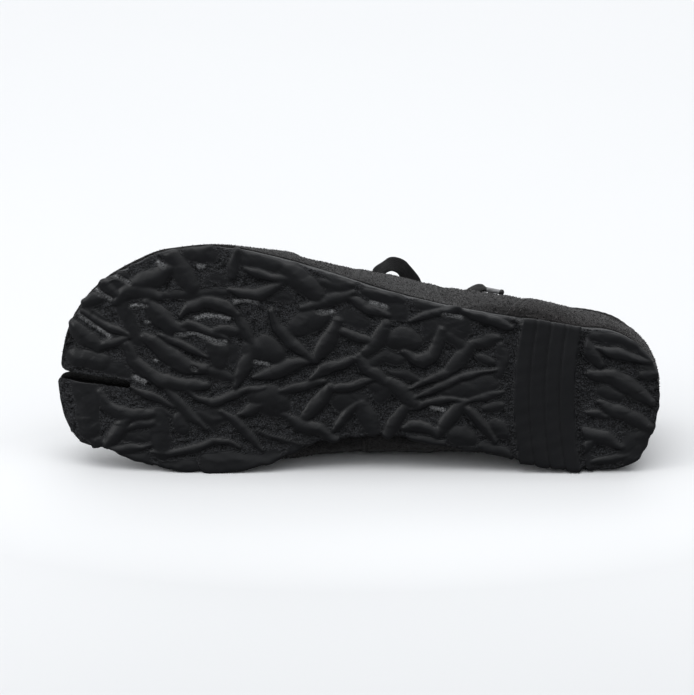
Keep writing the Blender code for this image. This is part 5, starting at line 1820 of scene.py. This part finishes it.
# ---------------------------------------------------------------- floor and light
def build_floor():
    bm = bmesh.new()
    bmesh.ops.create_circle(bm, cap_ends=True, radius=9.0, segments=96)
    mesh = bpy.data.meshes.new("floor")
    bm.to_mesh(mesh)
    bm.free()
    o = bpy.data.objects.new("floor", mesh)
    bpy.context.scene.collection.objects.link(o)
    o.location.z = -0.00005
    m, t, b = new_material("pale_floor", (0.86, 0.865, 0.875), 0.6)
    at = coords(t)
    split = t.nodes.new("ShaderNodeSeparateXYZ")
    t.links.new(at, split.inputs[0])
    # painted light: the floor is painted lighter just in front of the shoe, where its shadow falls, and a little darker
    # further out in front
    across = math_node(t, "MULTIPLY", split.outputs["X"], 5.0)
    ahead = math_node(t, "MULTIPLY", math_node(t, "ADD", split.outputs["Y"], 0.075), 8.3)
    away = math_node(t, "ADD", math_node(t, "MULTIPLY", across, across), math_node(t, "MULTIPLY", ahead, ahead))
    painted_floor_shade = math_node(t, "ADD", map_range(t, away, 0.0, 1.0, 0.965, 0.806), map_range(t, split.outputs["Y"], -0.30, -0.05, -0.085, 0.0))
    painted_floor_shade = math_node(t, "ADD", painted_floor_shade, map_range(t, noise(t, at, 3.0, 2.0), 0.3, 0.7, 0.0, 0.008))
    pale = t.nodes.new("ShaderNodeCombineXYZ")
    for k, tint in enumerate((0.0, 0.006, 0.016)):
        t.links.new(math_node(t, "ADD", painted_floor_shade, tint), pale.inputs[k])
    # painted shade: to every ray but the camera's the floor is dark grey, so it throws little light back onto the shoe
    mix = add_node(t, "ShaderNodeMix", {"data_type": "RGBA"})
    t.links.new(t.nodes.new("ShaderNodeLightPath").outputs["Is Camera Ray"], mix.inputs[0])
    mix.inputs[6].default_value = (0.16, 0.16, 0.165, 1.0)
    t.links.new(pale.outputs[0], mix.inputs[7])
    t.links.new(mix.outputs[2], b.inputs["Base Color"])
    b.inputs["Specular IOR Level"].default_value = 0.2
    mesh.materials.append(m)
    return o


build_floor()


def add_area(name, place_at, aim, size, power, colour=(1.0, 1.0, 1.0)):
    d = bpy.data.lights.new(name, "AREA")
    d.shape = "RECTANGLE"
    d.size, d.size_y = size
    d.energy = power
    d.color = colour
    o = bpy.data.objects.new(name, d)
    bpy.context.scene.collection.objects.link(o)
    o.location = place_at
    o.rotation_mode = "QUATERNION"
    o.rotation_quaternion = (Vector(aim) - Vector(place_at)).to_track_quat("-Z", "Y")
    return o


add_area("top_softbox", (0.0, -0.28, 1.5), (0.0, -0.12, 0.0), (2.2, 1.4), 12.5)
add_area("back_softbox", (0.0, 1.9, 1.6), (0.0, 1.7, 0.0), (3.2, 1.6), 15.0)
add_area("left_softbox", (-1.3, -0.55, 0.6), (-0.1, 0.0, 0.05), (0.5, 0.8), 3.0)


def build_world():
    w = bpy.data.worlds.new("studio")
    bpy.context.scene.world = w
    w.use_nodes = True
    t = w.node_tree
    back = t.nodes["Background"]
    direction = t.nodes.new("ShaderNodeTexCoord").outputs["Generated"]
    split = t.nodes.new("ShaderNodeSeparateXYZ")
    t.links.new(direction, split.inputs[0])
    rise = math_node(t, "ADD", split.outputs["Z"], math_node(t, "MULTIPLY", split.outputs["Y"], 0.35))
    t.links.new(map_range(t, rise, -0.35, 0.4, 0.30, 0.76), back.inputs["Strength"])
    back.inputs["Color"].default_value = (0.96, 0.98, 1.0, 1.0)
    seen = t.nodes.new("ShaderNodeBackground")
    seen.inputs["Color"].default_value = (0.93, 0.94, 0.95, 1.0)
    mix = t.nodes.new("ShaderNodeMixShader")
    path = t.nodes.new("ShaderNodeLightPath")
    t.links.new(path.outputs["Is Camera Ray"], mix.inputs[0])
    t.links.new(back.outputs[0], mix.inputs[1])
    t.links.new(seen.outputs[0], mix.inputs[2])
    t.links.new(mix.outputs[0], t.nodes["World Output"].inputs["Surface"])


build_world()
bpy.context.scene.view_settings.view_transform = "Standard"
bpy.context.scene.view_settings.look = "None"
